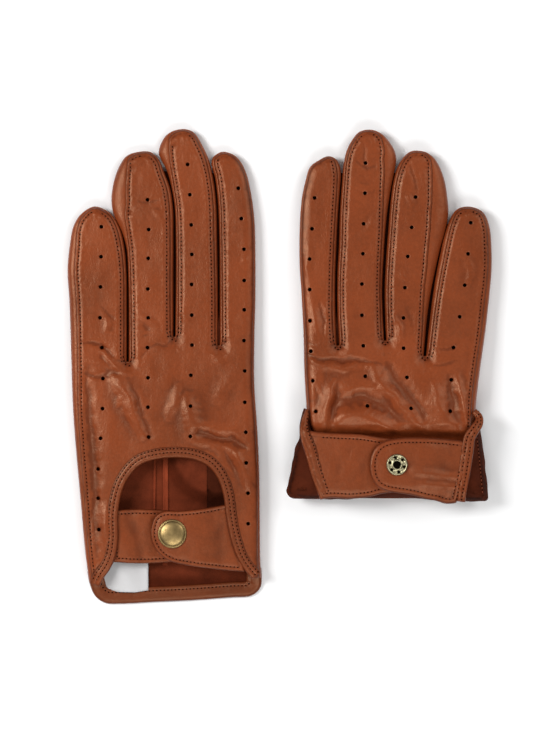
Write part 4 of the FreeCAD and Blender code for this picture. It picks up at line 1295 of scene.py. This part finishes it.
def strap_plate(glove, name, outline, height, thick, finish, inset=2.0, pucker=0.22):
    """A strap: flat leather with rolled edges and a stitched channel inside them."""
    loop = closed(outline, 0.9)
    near = Nearest(loop, 0.3, True)

    def fall(points):
        gap = near.gap(points)
        share = 1 - np.clip(gap / 1.4, 0, 1)
        edge = 0.75 * (1 - np.sqrt(np.maximum(1 - share ** 2, 0)))
        channel = pucker * np.exp(-((gap - inset) / 0.6) ** 2)
        bank = 0.5 * pucker * np.exp(-((gap - inset + 1.1) / 0.5) ** 2)
        slack = uneven(points, 6, 9, 3.0)
        return edge + channel - bank - 0.4 * slack * np.clip(gap / 4, 0, 1)

    def face(points):
        return height(points) - fall(points)

    normals = inward(np.vstack([loop, loop[:1]]))[:-1]
    if np.mean(inside(loop + normals * 0.5, loop)) < 0.5:
        normals = -normals
    rows = ring_points(loop, (0.35, 0.8, 1.3, 1.9, 2.5, 3.2), normals, near)
    rows = rows[inside(rows, loop)]
    piece = slab(glove, name, loop, free_points(loop, 1.0, 3.9, rows), face,
                 lambda p: height(p) - thick, finish)
    return piece, face


def inset_row(loop, inset):
    """A row of stitches inside a closed outline."""
    edge = respaced(np.vstack([loop, loop[:1]]), 1.0)
    normals = inward(edge)
    row = edge + normals * inset
    if np.mean(inside(row, loop)) < 0.5:
        row = edge - normals * inset
    return row, np.abs(Nearest(edge, 0.3).gap(row) - inset) < 0.3


TAB_OUTLINE = [(33.4, 52.6), (26, 51.2), (17, 49.8), (8, 49), (-1, 48.8), (-5.2, 45.8), (-7.3, 39),
               (-6.8, 33.5), (-4.4, 28.5), (-1, 25), (4, 22.4), (12, 20.6), (22, 19.2),
               (32, 18), (41.5, 17.3)]
TAB_ROOT = [(41.5, 17.3), (39.6, 24.5), (36.6, 33), (35, 40), (34.2, 47), (33.4, 52.6)]
UNDERSTRAP_OUTLINE = [(-27.5, 49.2), (-12, 49.8), (4, 48.8), (16, 47.5), (17, 38), (16, 24),
                      (6, 22.5), (-10, 21.5), (-27, 22.2)]


def closed_outline(*runs):
    """One closed loop of several smooth runs."""
    return np.vstack([smooth(run, 1.0)[:-1] for run in runs])


def tab_height(points):
    """The tab's face: lowest at the keyhole edge, swelling over the snap."""
    x, y = points[:, 0], points[:, 1]
    swell = 1.3 * np.exp(-(((x - LEFT_SNAP[0]) / 13) ** 2 + ((y - LEFT_SNAP[1]) / 11) ** 2))
    wave = 0.9 * np.sin((x - 12) / 6 + y / 30) * np.exp(-((x - 20) / 12) ** 2)
    return 12.9 + swell + wave - 0.035 * (x - 4)


def left_straps(glove):
    """The left glove's understrap and the tab that snaps onto it."""
    outline = np.vstack([smooth(UNDERSTRAP_OUTLINE, 1.0), [UNDERSTRAP_OUTLINE[0]]])[:-1]

    def low(points):
        x, y = points[:, 0], points[:, 1]
        sag = 10.7 - 1.7 * np.clip((x + 27) / 22, 0, 1)
        return sag + 0.55 * np.sin(x / 2.6 + y / 9.0) * np.exp(-((x + 19) / 8) ** 2)

    under, face = strap_plate(glove, "left_understrap_leather", outline, low, 1.6,
                              "strap nappa cut")
    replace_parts(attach(under, "left_glove"), "left_understrap", "left_understrap_lining")
    row, good = inset_row(outline, 2.2)
    sew_good("left_glove", glove, row, good, face)
    outline = closed_outline(TAB_OUTLINE, TAB_ROOT)
    tab, face = strap_plate(glove, "left_tab_leather", outline, tab_height, 1.7,
                            "strap nappa cut", pucker=0.35)
    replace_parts(tab, "left_tab", "left_tab_lining")
    row, good = inset_row(outline, 2.1)
    good &= row[:, 0] < 29 + (52 - row[:, 1]) * 0.25
    sew_good("left_tab_bend", glove, row, good, face)
    return tab


def sew_good(body, glove, row, good, face):
    """Sew the good stretches of a closed row."""
    for start, end in stretches(good, 4):
        sew(body, glove, row[start:end], face(row[start:end]) + 0.03)


def bend_left_tab(piece, glove):
    """Bake the left tab's, or its thread's, place into its mesh; two points beside the keyhole are
    worked out and not used.
    """
    bend = [glove.put((32.5, 38, 12)), glove.put((24, 36, 12))]
    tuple(bend[0])
    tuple(bend[1])
    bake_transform(piece)


def bend_right_strap(piece, glove):
    """Bake the right understrap's, or its thread's, place into its mesh; two points beside the
    keyhole are worked out and not used.
    """
    bend = [glove.put((-30, 72, 20)), glove.put((-21, 72, 20))]
    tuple(bend[0])
    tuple(bend[1])
    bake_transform(piece)


# ---- turned-back cuff of the right glove ------------------------------------------------------

SLEEVE_EDGE = [(44.5, 102), (46.6, 95), (47.4, 87), (49.6, 80.5), (50.9, 72.8), (52.1, 67.4),
               (53.5, 62.4), (53.8, 58.6), (52.2, 56.2), (46.8, 55.2), (36, 55), (28, 54.8),
               (10, 55.6), (-8, 55.8), (-20, 54.8), (-30, 54.2), (-46.5, 53.8), (-50.3, 54.8),
               (-50.9, 59.8), (-49.9, 67.6), (-48.9, 78), (-47.8, 85.8), (-47.2, 91),
               (-48.6, 96), (-46.5, 101)]
INDEX_FLAP = [(44.6, 101), (46, 94), (46.6, 87), (48.9, 80), (50, 72.8), (51.1, 67), (52.5, 62),
              (52.6, 59), (51.4, 57), (46.5, 56.2), (33, 56.2), (35.5, 62), (38, 70), (40.5, 79),
              (42, 86), (41.5, 92), (42, 98)]
LITTLE_FLAP = [(-33, 55.4), (-46.3, 54.9), (-49.3, 55.9), (-49.8, 60), (-48.8, 67.6),
               (-47.8, 78), (-46.7, 85.8), (-46.2, 91), (-47.4, 96), (-46, 100), (-43.3, 99),
               (-41.5, 92), (-39.5, 84), (-37.5, 72), (-35, 62)]
INDEX_LEG = [(35.8, 55.2), (38.6, 62.4), (41.2, 70.2), (43.8, 79.6), (45.8, 86), (46.6, 91),
             (45.8, 96), (43.6, 102)]
LITTLE_LEG = [(-44.2, 101.8), (-47.2, 98.5), (-47.4, 94.5), (-45.3, 90.5), (-43.0, 86.5),
              (-42.2, 80.5), (-40.6, 70), (-38.6, 59), (-38, 53.9)]
LEG_SHAPE = [(-0.2, -0.8), (-0.6, 0.0), (-0.2, 0.6), (0.6, 0.8), (1.5, 0.45), (2.2, 0.95),
             (3.0, 1.0), (3.8, 0.5), (4.6, 0.75), (5.3, 0.6), (5.8, 0.2), (5.9, -0.6)]
RIGHT_TAB = [(45.4, 91.4), (38, 90.2), (26, 89.4), (15.6, 88.9), (6.2, 87.4), (-2.6, 86.3),
             (-9, 84.5), (-13.3, 80), (-14.6, 73.3), (-13, 66), (-8, 61.5), (-2.6, 59.3),
             (5.2, 58.0), (10.4, 56.6), (20.8, 55.5), (30.7, 56), (35.6, 55.2)]
RIGHT_TAB_ROOT = [(35.6, 55.2), (38.4, 62.4), (41, 70.2), (43.6, 79.6), (45.2, 86), (45.4, 91.4)]
RIGHT_STRAP = [(-41.5, 85.2), (-26, 86.8), (-10.4, 87.4), (-2.6, 86.9), (3.2, 85.6), (7.4, 82.8),
               (10, 78.2), (10.9, 72.6), (9.9, 66.4), (7, 62.2), (2.6, 59.9), (-10.4, 57.6),
               (-18.2, 55.7), (-23.4, 54.6), (-28.6, 53), (-34, 53.4)]
RIGHT_STRAP_ROOT = [(-34, 53.4), (-36, 62), (-39, 74), (-41.5, 85.2)]
LITTLE_FLAP_ROW = [(-47.6, 59), (-46.8, 68), (-45.8, 78), (-44.8, 87)]
# the soft fold of the cuff: height of its top by distance from the fold, and its section
SLEEVE_TOP = [(0, 9.0), (0.3, 10.6), (1, 12.2), (2.2, 13.8), (4, 15.4), (6.5, 16.9), (9, 17.7),
              (13, 18.2), (40, 18.4)]
SLEEVE_SECTION = [(9.5, 16.7), (6.5, 15.9), (4, 14.5), (2.2, 13.1), (1, 11.7), (0.3, 10.2),
                  (0, 8.6), (0.3, 7.0), (1.1, 5.2), (2.6, 3.0), (4.8, 0.9), (7.2, -0.5),
                  (9.5, -1.1)]


def level_at(height):
    """A flat height function."""
    return lambda points: np.full(len(points), height)


def sleeve(glove):
    """The palm's half of the turned-back cuff: it wraps the hand, flesh side out."""
    path = smooth(SLEEVE_EDGE, 1.0)[:, :2]
    path += 0.5 * uneven(path, 6, 6, 9.0)[:, None]
    normal = softened(inward(path), 9)
    sections = []
    for point, side in zip(path, normal):
        rows = []
        end = np.clip((point[1] - 84) / 14, 0, 1)
        for gap, height in SLEEVE_SECTION:
            spot = point + side * gap * (1 - 0.75 * end)
            height = height * (1 - 0.28 * end) if height > 0 else height
            slack = 0.9 * noise.noise((spot[0] / 11, spot[1] / 11, height / 7))
            slack += 0.5 * noise.noise((spot[0] / 3.5, spot[1] / 3.5, height / 9))
            rows.append((*spot, height + slack * min(1.0, (height + 1.1) / 4)))
        sections.append(thickened(np.array(rows), side, 0.7))
    wall = side_skin(glove, "right_sleeve", sections, "flap nappa cut")
    under = path + normal * 8.6
    loop = np.vstack([under, smooth([under[-1], (-30, 107.5), (0, 109.5), (30, 107), under[0]],
                                    1.0)[1:-1]])
    plate = slab(glove, "right_sleeve_plate", loop, free_points(loop, 2.0, 1.2),
                 level_at(-0.35), level_at(-1.2), "nappa flap cut")
    return [wall, plate]


def flap(glove, name, outline, row=()):
    """One of the back's two flaps beside the keyhole, flesh side up, with its row of stitches."""
    loop = respaced(np.vstack([smooth(outline, 1.0), [outline[0]]]), 1.0)[:-1]
    near = Nearest(loop, 0.4, True)
    fold = Nearest(smooth(SLEEVE_EDGE, 1.0), 0.4)

    def lie(points):
        lift = steps_between(fold.gap(points), SLEEVE_TOP)
        lift *= 1 - 0.28 * np.clip((points[:, 1] - 84) / 14, 0, 1)
        return (lift - 0.5 * np.exp(-near.gap(points) / 0.5) + 0.6 * uneven(points, 8, 15, 8.0)
                + 0.15 * uneven(points, 2.2, 3, 2.0))

    if row:
        row = smooth(row, 1.0)
        sew("right_glove", glove, row, lie(row) + 0.1)
    return slab(glove, name, loop, free_points(loop, 1.2, 0.6), lie, lambda p: lie(p) - 0.9,
                "flap nappa cut")


def right_tab_height(points):
    """The right tab's underside, which faces up."""
    x, y = points[:, 0], points[:, 1]
    wave = 0.35 * np.sin(x / 6 + y / 19) - 0.9 * np.exp(-((x + 2) / 12) ** 2)
    return 18.9 + wave - 0.05 * np.maximum(61 - y, 0) ** 2 - 0.9 * np.clip((x - 36) / 9, 0, 1)


def right_strap_height(points):
    """The right understrap's outer side, lower at its root."""
    x, y = points[:, 0], points[:, 1]
    root = np.clip((-x - 16) / 16, 0, 1)
    rib = 0.85 * np.exp(-((y - 70 - 0.12 * (x + 10)) / 2.2) ** 2) * np.clip((-x - 8) / 8, 0, 1)
    rib += 0.65 * np.exp(-((y - 64 - 0.10 * (x + 10)) / 1.8) ** 2) * np.clip((-x - 10) / 8, 0, 1)
    curl = -0.02 * np.maximum(np.abs(y - 72) - 8, 0) ** 2
    return 22.1 - 2.0 * root * root * (3 - 2 * root) + rib + curl


def leg_level(value):
    """The base of one leg of the binding, which droops into the fold."""
    def level(points):
        y = points[:, 1]
        return value - 0.05 * np.maximum(61 - y, 0) ** 2 - 0.45 * np.maximum(y - 90, 0)

    return level


def right_cuff(glove):
    """Binding legs, tab and understrap of the turned-back cuff."""
    body = "right_glove"
    legs = []
    for name, line, level, rows in (("index", INDEX_LEG, 18.5, ((4.9, 0.72),)),
                                    ("little", LITTLE_LEG, 19.7, ((1.5, 0.5), (3.9, 0.55)))):
        legs.append(binding(glove, "right_leg_" + name, smooth(line, 1.0), leg_level(level),
                            LEG_SHAPE, rows, body, taper=0.75 if name == "index" else -0.5,
                            pucker=0.75))
    legs = join("right_binding", legs)
    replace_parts(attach(legs, body), "right_keyhole_binding")
    outline = closed_outline(RIGHT_TAB, RIGHT_TAB_ROOT)
    tab, face = strap_plate(glove, "right_tab_leather", outline, right_tab_height, 1.6,
                            "turned turned cut", inset=2.6)
    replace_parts(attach(tab, body), "right_tab", "right_tab_lining")
    row, good = inset_row(outline, 2.6)
    good &= (row[:, 0] < 36) & (row[:, 0] > 5)
    sew_good(body, glove, row, good, face)
    outline = closed_outline(RIGHT_STRAP, RIGHT_STRAP_ROOT)
    strap, face = strap_plate(glove, "right_understrap_leather", outline, right_strap_height,
                              1.6, "turned turned cut", inset=2.6, pucker=0.3)
    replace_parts(strap, "right_understrap", "right_understrap_lining")
    row, good = inset_row(outline, 2.6)
    good &= row[:, 0] > -36
    sew_good("right_strap_bend", glove, row, good, face)
    return strap


def right_hem_and_label(glove):
    """The right hem facing and label, hidden under the hand."""
    body = "right_glove"
    for node_name, slot, finish in (("right_hem_facing", "nappa", "trim"),
                                    ("right_label", "label_cloth", "label")):
        low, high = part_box(node_name)
        sides = sorted(glove.mirror * (v / MM - glove.centre) for v in (low.x, high.x))
        sides = np.clip(sides, -40, 40)
        bottom, top = low.y / MM - glove.hem, high.y / MM - glove.hem
        loop = closed([(sides[0], bottom), (sides[0], top), (sides[1], top), (sides[1], bottom)],
                      1.0)
        piece = slab(glove, node_name + "_piece", loop, free_points(loop, 1.5, 0.6),
                     level_at(high.z / MM - glove.lift), level_at(low.z / MM - glove.lift),
                     finish)
        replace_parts(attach(piece, body), node_name)


# ---- snap fastener ----------------------------------------------------------------------------

def snap_cap(glove, name, centre, facing):
    """The domed cap: a rolled rim and a smooth, plain dome."""
    dome = [(6.5 * math.sin(a), 0.95 + 1.5 * math.cos(a))
            for a in np.linspace(math.radians(90), math.radians(4), 14)]
    profile = [(0.001, -0.2), (6.6, -0.2), (7.3, -0.1), (7.5, 0.25), (7.45, 0.55), (7.2, 0.85),
               (6.9, 0.9), (6.68, 0.82), *dome, (0.001, dome[-1][1])]
    return lathe(glove, name, centre, [(r, h * facing) for r, h in profile], "brass")


def eyelet(glove, name, centre):
    """The eyelet's face: a rolled rim, six small holes and a deep bore."""
    x, y, level = centre
    holes = [circle(x, y, EYELET_BORE, 40)]
    for index in range(6):
        angle = index * math.pi / 3 + 0.3
        holes.append(circle(x + 3.8 * math.cos(angle), y + 3.8 * math.sin(angle), 0.78, 16))

    def dish(points):
        radius = np.linalg.norm(points - np.array([x, y]), axis=1)
        rim = 0.45 * np.exp(-((radius - 5.0) / 0.45) ** 2)
        hub = 0.55 * np.exp(-((radius - 2.35) / 0.5) ** 2)
        fall = 0.5 * np.clip((radius - 5.1) / 0.5, 0, 1) ** 2
        return level + 0.35 + rim + hub - fall

    rings = [p for r in (2.15, 2.4, 2.7, 3.0, 4.6, 4.8, 5.0, 5.2, 5.4)
             for p in circle(x, y, r, 72)]
    return slab(glove, name, np.array(circle(x, y, EYELET_RADIUS, 96)), rings, dish,
                level_at(level - 0.4), "eyelet", holes)


def turned(glove, name, centre, radius, bore, bottom, top, finish):
    """A plain turned snap part: a ring, or a peg where it has no bore."""
    if bore is None:
        profile = [(0.001, bottom), (radius, bottom), (radius, top - 0.2), (radius - 0.3, top),
                   (0.001, top)]
    else:
        profile = [(bore, bottom), (radius, bottom), (radius, top - 0.3), (radius - 0.4, top),
                   (bore + 0.3, top), (bore, top - 0.3), (bore, bottom)]
    return lathe(glove, name, (*centre, 0.0), profile, finish, 40)


# each plain part of a snap: outer radius, bore and finish
EYELET_RADIUS = 5.6
EYELET_BORE = 1.95
TURNED = {"socket": (EYELET_RADIUS, 2.5, "steel"), "stud": (2.1, None, "steel"),
          "eyelet": (EYELET_RADIUS, EYELET_BORE, "eyelet")}
SNAP_SLOTS = {"cap": "antique_brass", "eyelet": "bright_brass"}


def snap_parts(glove):
    """Every metal part of one glove's snap, in the places the frame gives."""
    n = glove.name
    capped, based = ("left_tab", "left_glove") if n == "left" else ("right_glove", "right_strap")
    for kind in ("socket", "stud", "eyelet", "cap"):
        low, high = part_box(n + "_snap_" + kind)
        middle = (low + high) / 2
        centre = (glove.mirror * (middle.x / MM - glove.centre), middle.y / MM - glove.hem)
        bottom, top = low.z / MM - glove.lift, high.z / MM - glove.lift
        name = n + "_" + kind
        if kind == "cap":
            level = bottom + SNAP_LIFT if n == "left" else top
            piece = snap_cap(glove, name, (*centre, level), glove.mirror)
        elif name == "right_eyelet":
            ring = eyelet(glove, "ring", (*centre, bottom + SNAP_LIFT))
            # a black disc under the eyelet's bore: painted shadow deep in the hole
            bore_shadow = turned(glove, "bore_shadow", centre, 4.9, None, bottom - 0.6, bottom + 0.25, "dark")
            piece = join(name, [ring, bore_shadow])
        else:
            radius, bore, finish = TURNED[kind]
            piece = turned(glove, name, centre, radius, bore, bottom, top, finish)
        body = capped if kind in ("socket", "cap") else based
        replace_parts(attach(piece, body), n + "_snap_" + kind)
        SNAP_SLOTS.get(kind, "steel")


# ---- stitches ---------------------------------------------------------------------------------

def stitch_tree():
    """Geometry Nodes that sew a thread along each row, with near-black dots of painted shadow for
    its needle holes.
    """
    tree = bpy.data.node_groups.new("stitch_row", "GeometryNodeTree")
    face = tree.interface
    face.new_socket("Geometry", in_out="INPUT", socket_type="NodeSocketGeometry")
    for name in ("Pitch", "Length", "Thread"):
        face.new_socket(name, in_out="INPUT", socket_type="NodeSocketFloat")
    for name in ("Thread Finish", "Hole Shadow Finish"):
        face.new_socket(name, in_out="INPUT", socket_type="NodeSocketMaterial")
    face.new_socket("Geometry", in_out="OUTPUT", socket_type="NodeSocketGeometry")

    def add(kind, inputs, **settings):
        """A node with its inputs linked to other sockets, or set to values."""
        made = tree.nodes.new(kind)
        for name, value in settings.items():
            setattr(made, name, value)
        for key, value in inputs.items():
            if hasattr(value, "is_output"):
                tree.links.new(value, made.inputs[key])
            else:
                made.inputs[key].default_value = value
        return made.outputs[0] if made.outputs else made

    def repeated(points, shape, scale, finish):
        """A shape set upright at every point of a row, as a real mesh in its own finish."""
        placed = add("GeometryNodeInstanceOnPoints", {"Points": points, "Instance": shape,
                                                      "Rotation": upright, "Scale": scale})
        real = add("GeometryNodeRealizeInstances", {0: placed})
        return add("GeometryNodeSetMaterial", {"Geometry": real, "Material": finish})

    given = tree.nodes.new("NodeGroupInput").outputs
    curve = add("GeometryNodeMeshToCurve", {"Mesh": given["Geometry"]})
    even = add("GeometryNodeResampleCurve", {"Curve": curve, "Length": given["Pitch"]},
               mode="LENGTH")
    tangent = add("GeometryNodeInputTangent", {})
    along = add("FunctionNodeAlignEulerToVector", {"Vector": tangent}, axis="X")
    upright = add("FunctionNodeAlignEulerToVector", {"Vector": (0, 0, 1), "Rotation": along},
                  axis="Z", pivot_axis="X")
    ball = add("GeometryNodeMeshUVSphere", {"Segments": 7, "Rings": 5, "Radius": 0.5})
    size = add("ShaderNodeCombineXYZ", {0: given["Length"], 1: given["Thread"],
                                        2: given["Thread"]})
    threads = repeated(even, ball, size, given["Thread Finish"])
    step = add("ShaderNodeMath", {0: given["Pitch"], 1: 0.5}, operation="MULTIPLY")
    half = add("ShaderNodeVectorMath", {0: tangent, "Scale": step}, operation="SCALE")
    shifted = add("GeometryNodeSetPosition", {"Geometry": even, "Offset": half})
    # near-black dots between the stitches: painted shadow of the needle holes
    shadow_dot = add("GeometryNodeMeshUVSphere", {"Segments": 6, "Rings": 4, "Radius": 0.00046})
    holes = repeated(shifted, shadow_dot, (1.0, 0.9, 0.7), given["Hole Shadow Finish"])
    both = add("GeometryNodeJoinGeometry", {0: threads})
    tree.links.new(holes, both.node.inputs[0])
    add("NodeGroupOutput", {0: both})
    return tree


def set_input(modifier, name, value):
    """Set a modifier's named input by its socket's identifier."""
    for item in modifier.node_group.interface.items_tree:
        if item.name == name and getattr(item, "in_out", "") == "INPUT":
            modifier[item.identifier] = value


def stitches(name, rows, tree):
    """Thread and near-black dots of painted shadow for its needle holes, along rows of points, as
    one plain mesh.
    """
    points, edges = [], []
    for row in rows:
        start = len(points)
        points.extend(tuple(p) for p in row)
        edges.extend((start + i, start + i + 1) for i in range(len(row) - 1))
    mesh = bpy.data.meshes.new(name + "_rows")
    mesh.from_pydata(points, edges, [])
    guide = linked(name + "_rows", mesh)
    modifier = guide.modifiers.new("Stitches", "NODES")
    modifier.node_group = tree
    pitch = sizes().stitch_pitch
    for key, value in (("Pitch", pitch), ("Length", pitch * STITCH_SHARE),
                       ("Thread", sizes().thread), ("Thread Finish", finish_of("thread")),
                       ("Hole Shadow Finish", finish_of("hole"))):
        set_input(modifier, key, value)
    bpy.context.view_layer.update()
    evaluated = guide.evaluated_get(bpy.context.evaluated_depsgraph_get())
    made = bpy.data.meshes.new_from_object(evaluated)
    guide.modifiers.clear()
    bpy.data.objects.remove(guide)
    made.polygons.foreach_set("use_smooth", np.ones(len(made.polygons), bool))
    piece = linked(name, made)
    made.name = name
    return piece


# ---- operators --------------------------------------------------------------------------------

class BuildOperator:
    """What every building step shares."""
    bl_options = {"REGISTER", "UNDO"}

    def execute(self, context):
        """Build the step's pieces."""
        if not GLOVES:
            GLOVES["left"], GLOVES["right"] = make_gloves()
        self.build(GLOVES["left"], GLOVES["right"])
        return {"FINISHED"}


class GLOVES_OT_bodies(BuildOperator, bpy.types.Operator):
    """Backs, palms, fourchettes and thumbs"""
    bl_idname = "gloves.bodies"
    bl_label = "Glove Bodies"

    def build(self, left, right):
        """Build both hands."""
        glove_body(left, "left_glove", smooth(LEFT_KEYHOLE, 1.0))
        glove_body(right, "right_glove")
        thumb(left, "left_glove")
        thumb(right, "right_glove")


class GLOVES_OT_left_cuff(BuildOperator, bpy.types.Operator):
    """Keyhole binding, hem and label of the left cuff"""
    bl_idname = "gloves.left_cuff"
    bl_label = "Left Cuff"

    def build(self, left, right):
        """Trim the left cuff."""
        left_binding(left, "left_glove")
        left_hem(left, "left_glove")
        left_label(left, "left_glove")


class GLOVES_OT_straps(BuildOperator, bpy.types.Operator):
    """Straps of both gloves"""
    bl_idname = "gloves.straps"
    bl_label = "Straps"

    def build(self, left, right):
        """Make the straps."""
        bend_left_tab(left_straps(left), left)
        bend_right_strap(right_cuff(right), right)
        right_hem_and_label(right)


class GLOVES_OT_snaps(BuildOperator, bpy.types.Operator):
    """Snap fasteners"""
    bl_idname = "gloves.snaps"
    bl_label = "Snap Fasteners"

    def build(self, left, right):
        """Make the snap parts."""
        snap_parts(left)
        snap_parts(right)


class GLOVES_OT_stitching(BuildOperator, bpy.types.Operator):
    """Every row of stitches"""
    bl_idname = "gloves.stitching"
    bl_label = "Stitching"

    def build(self, left, right):
        """Sew every waiting row."""
        tree = stitch_tree()
        for body, rows in SEAMS.items():
            piece = stitches(body + "_thread", rows, tree)
            if body == "left_tab_bend":
                bend_left_tab(piece, left)
            elif body == "right_strap_bend":
                bend_right_strap(piece, right)
            else:
                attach(piece, body)


class GLOVES_OT_stage(bpy.types.Operator):
    """Floor, lights and camera"""
    bl_idname = "gloves.stage"
    bl_label = "Stage"

    def execute(self, context):
        """Set the stage."""
        make_floor()
        make_lights()
        make_camera()
        return {"FINISHED"}


def make_floor():
    """A plain pale floor under the pair."""
    mesh = bpy.data.meshes.new("floor")
    half, level = 1.6, -0.0004
    corners = [(-half, -half, level), (half, -half, level), (half, half, level),
               (-half, half, level)]
    mesh.from_pydata(corners, [], [(0, 1, 2, 3)])
    floor = linked("floor", mesh)
    material, _, shader = new_material("pale_floor")
    shader.inputs["Base Color"].default_value = (0.93, 0.93, 0.93, 1)
    shader.inputs["Roughness"].default_value = 0.95
    shader.inputs["Specular IOR Level"].default_value = 0.0
    mesh.materials.append(material)


def area_light(name, place, power, size):
    """One soft white area light, aimed at the middle of the pair."""
    lamp = bpy.data.lights.new(name, "AREA")
    lamp.shape = "RECTANGLE"
    lamp.size, lamp.size_y = size
    lamp.energy = power
    light = linked(name, lamp)
    light.location = place
    light.rotation_euler = (-Vector(place)).to_track_quat("-Z", "Y").to_euler()


def make_lights():
    """Soft studio light from above, stronger from the upper left."""
    area_light("key", (-0.74, 0.24, 0.95), 11.0, (0.36, 0.55))
    area_light("fill", (0.85, 0.55, 0.80), 5.6, (0.6, 0.9))
    area_light("front", (0.10, -0.75, 0.95), 6.2, (0.8, 0.5))
    world = bpy.data.worlds.new("studio")
    world.use_nodes = True
    back = world.node_tree.nodes["Background"]
    back.inputs["Color"].default_value = (1, 1, 1, 1)
    back.inputs["Strength"].default_value = 0.22
    bpy.context.scene.world = world
    bpy.context.scene.view_settings.view_transform = "Standard"


def make_camera():
    """A long lens straight above the pair."""
    lens = bpy.data.cameras.new("camera")
    lens.sensor_fit = "VERTICAL"
    lens.sensor_height = 36.0
    distance, view_height = 1.6, 0.3817
    lens.lens = lens.sensor_height * distance / view_height
    camera = linked("camera", lens)
    camera.location = (-0.0013, -0.0003, distance + 0.010)
    bpy.context.scene.camera = camera


class GLOVES_PT_panel(bpy.types.Panel):
    """Lists the building steps"""
    bl_idname = "GLOVES_PT_panel"
    bl_label = "Leather Gloves"
    bl_space_type = "VIEW_3D"
    bl_region_type = "UI"
    bl_category = "Gloves"

    def draw(self, context):
        """Draw the sizes, the colours and one button for each step."""
        layout = self.layout
        for group in (context.scene.glove_sizes, context.scene.glove_colours):
            for name in group.bl_rna.properties.keys():
                if name not in ("rna_type", "name"):
                    layout.prop(group, name)
        for operator in STEPS:
            layout.operator(operator.bl_idname)


STEPS = (GLOVES_OT_bodies, GLOVES_OT_left_cuff, GLOVES_OT_straps, GLOVES_OT_snaps,
         GLOVES_OT_stitching, GLOVES_OT_stage)
CLASSES = (GloveSizes, GloveColours) + STEPS + (GLOVES_PT_panel,)


def register():
    """Register the classes and hang the settings on the scene."""
    for cls in CLASSES:
        bpy.utils.register_class(cls)
    bpy.types.Scene.glove_sizes = PointerProperty(type=GloveSizes)
    bpy.types.Scene.glove_colours = PointerProperty(type=GloveColours)


def unregister():
    """Undo register."""
    del bpy.types.Scene.glove_colours
    del bpy.types.Scene.glove_sizes
    for cls in reversed(CLASSES):
        bpy.utils.unregister_class(cls)


def main():
    """Build the pair, step by step."""
    register()
    for operator in STEPS:
        group, name = operator.bl_idname.split(".")
        getattr(getattr(bpy.ops, group), name)()


if __name__ == "__main__":
    main()
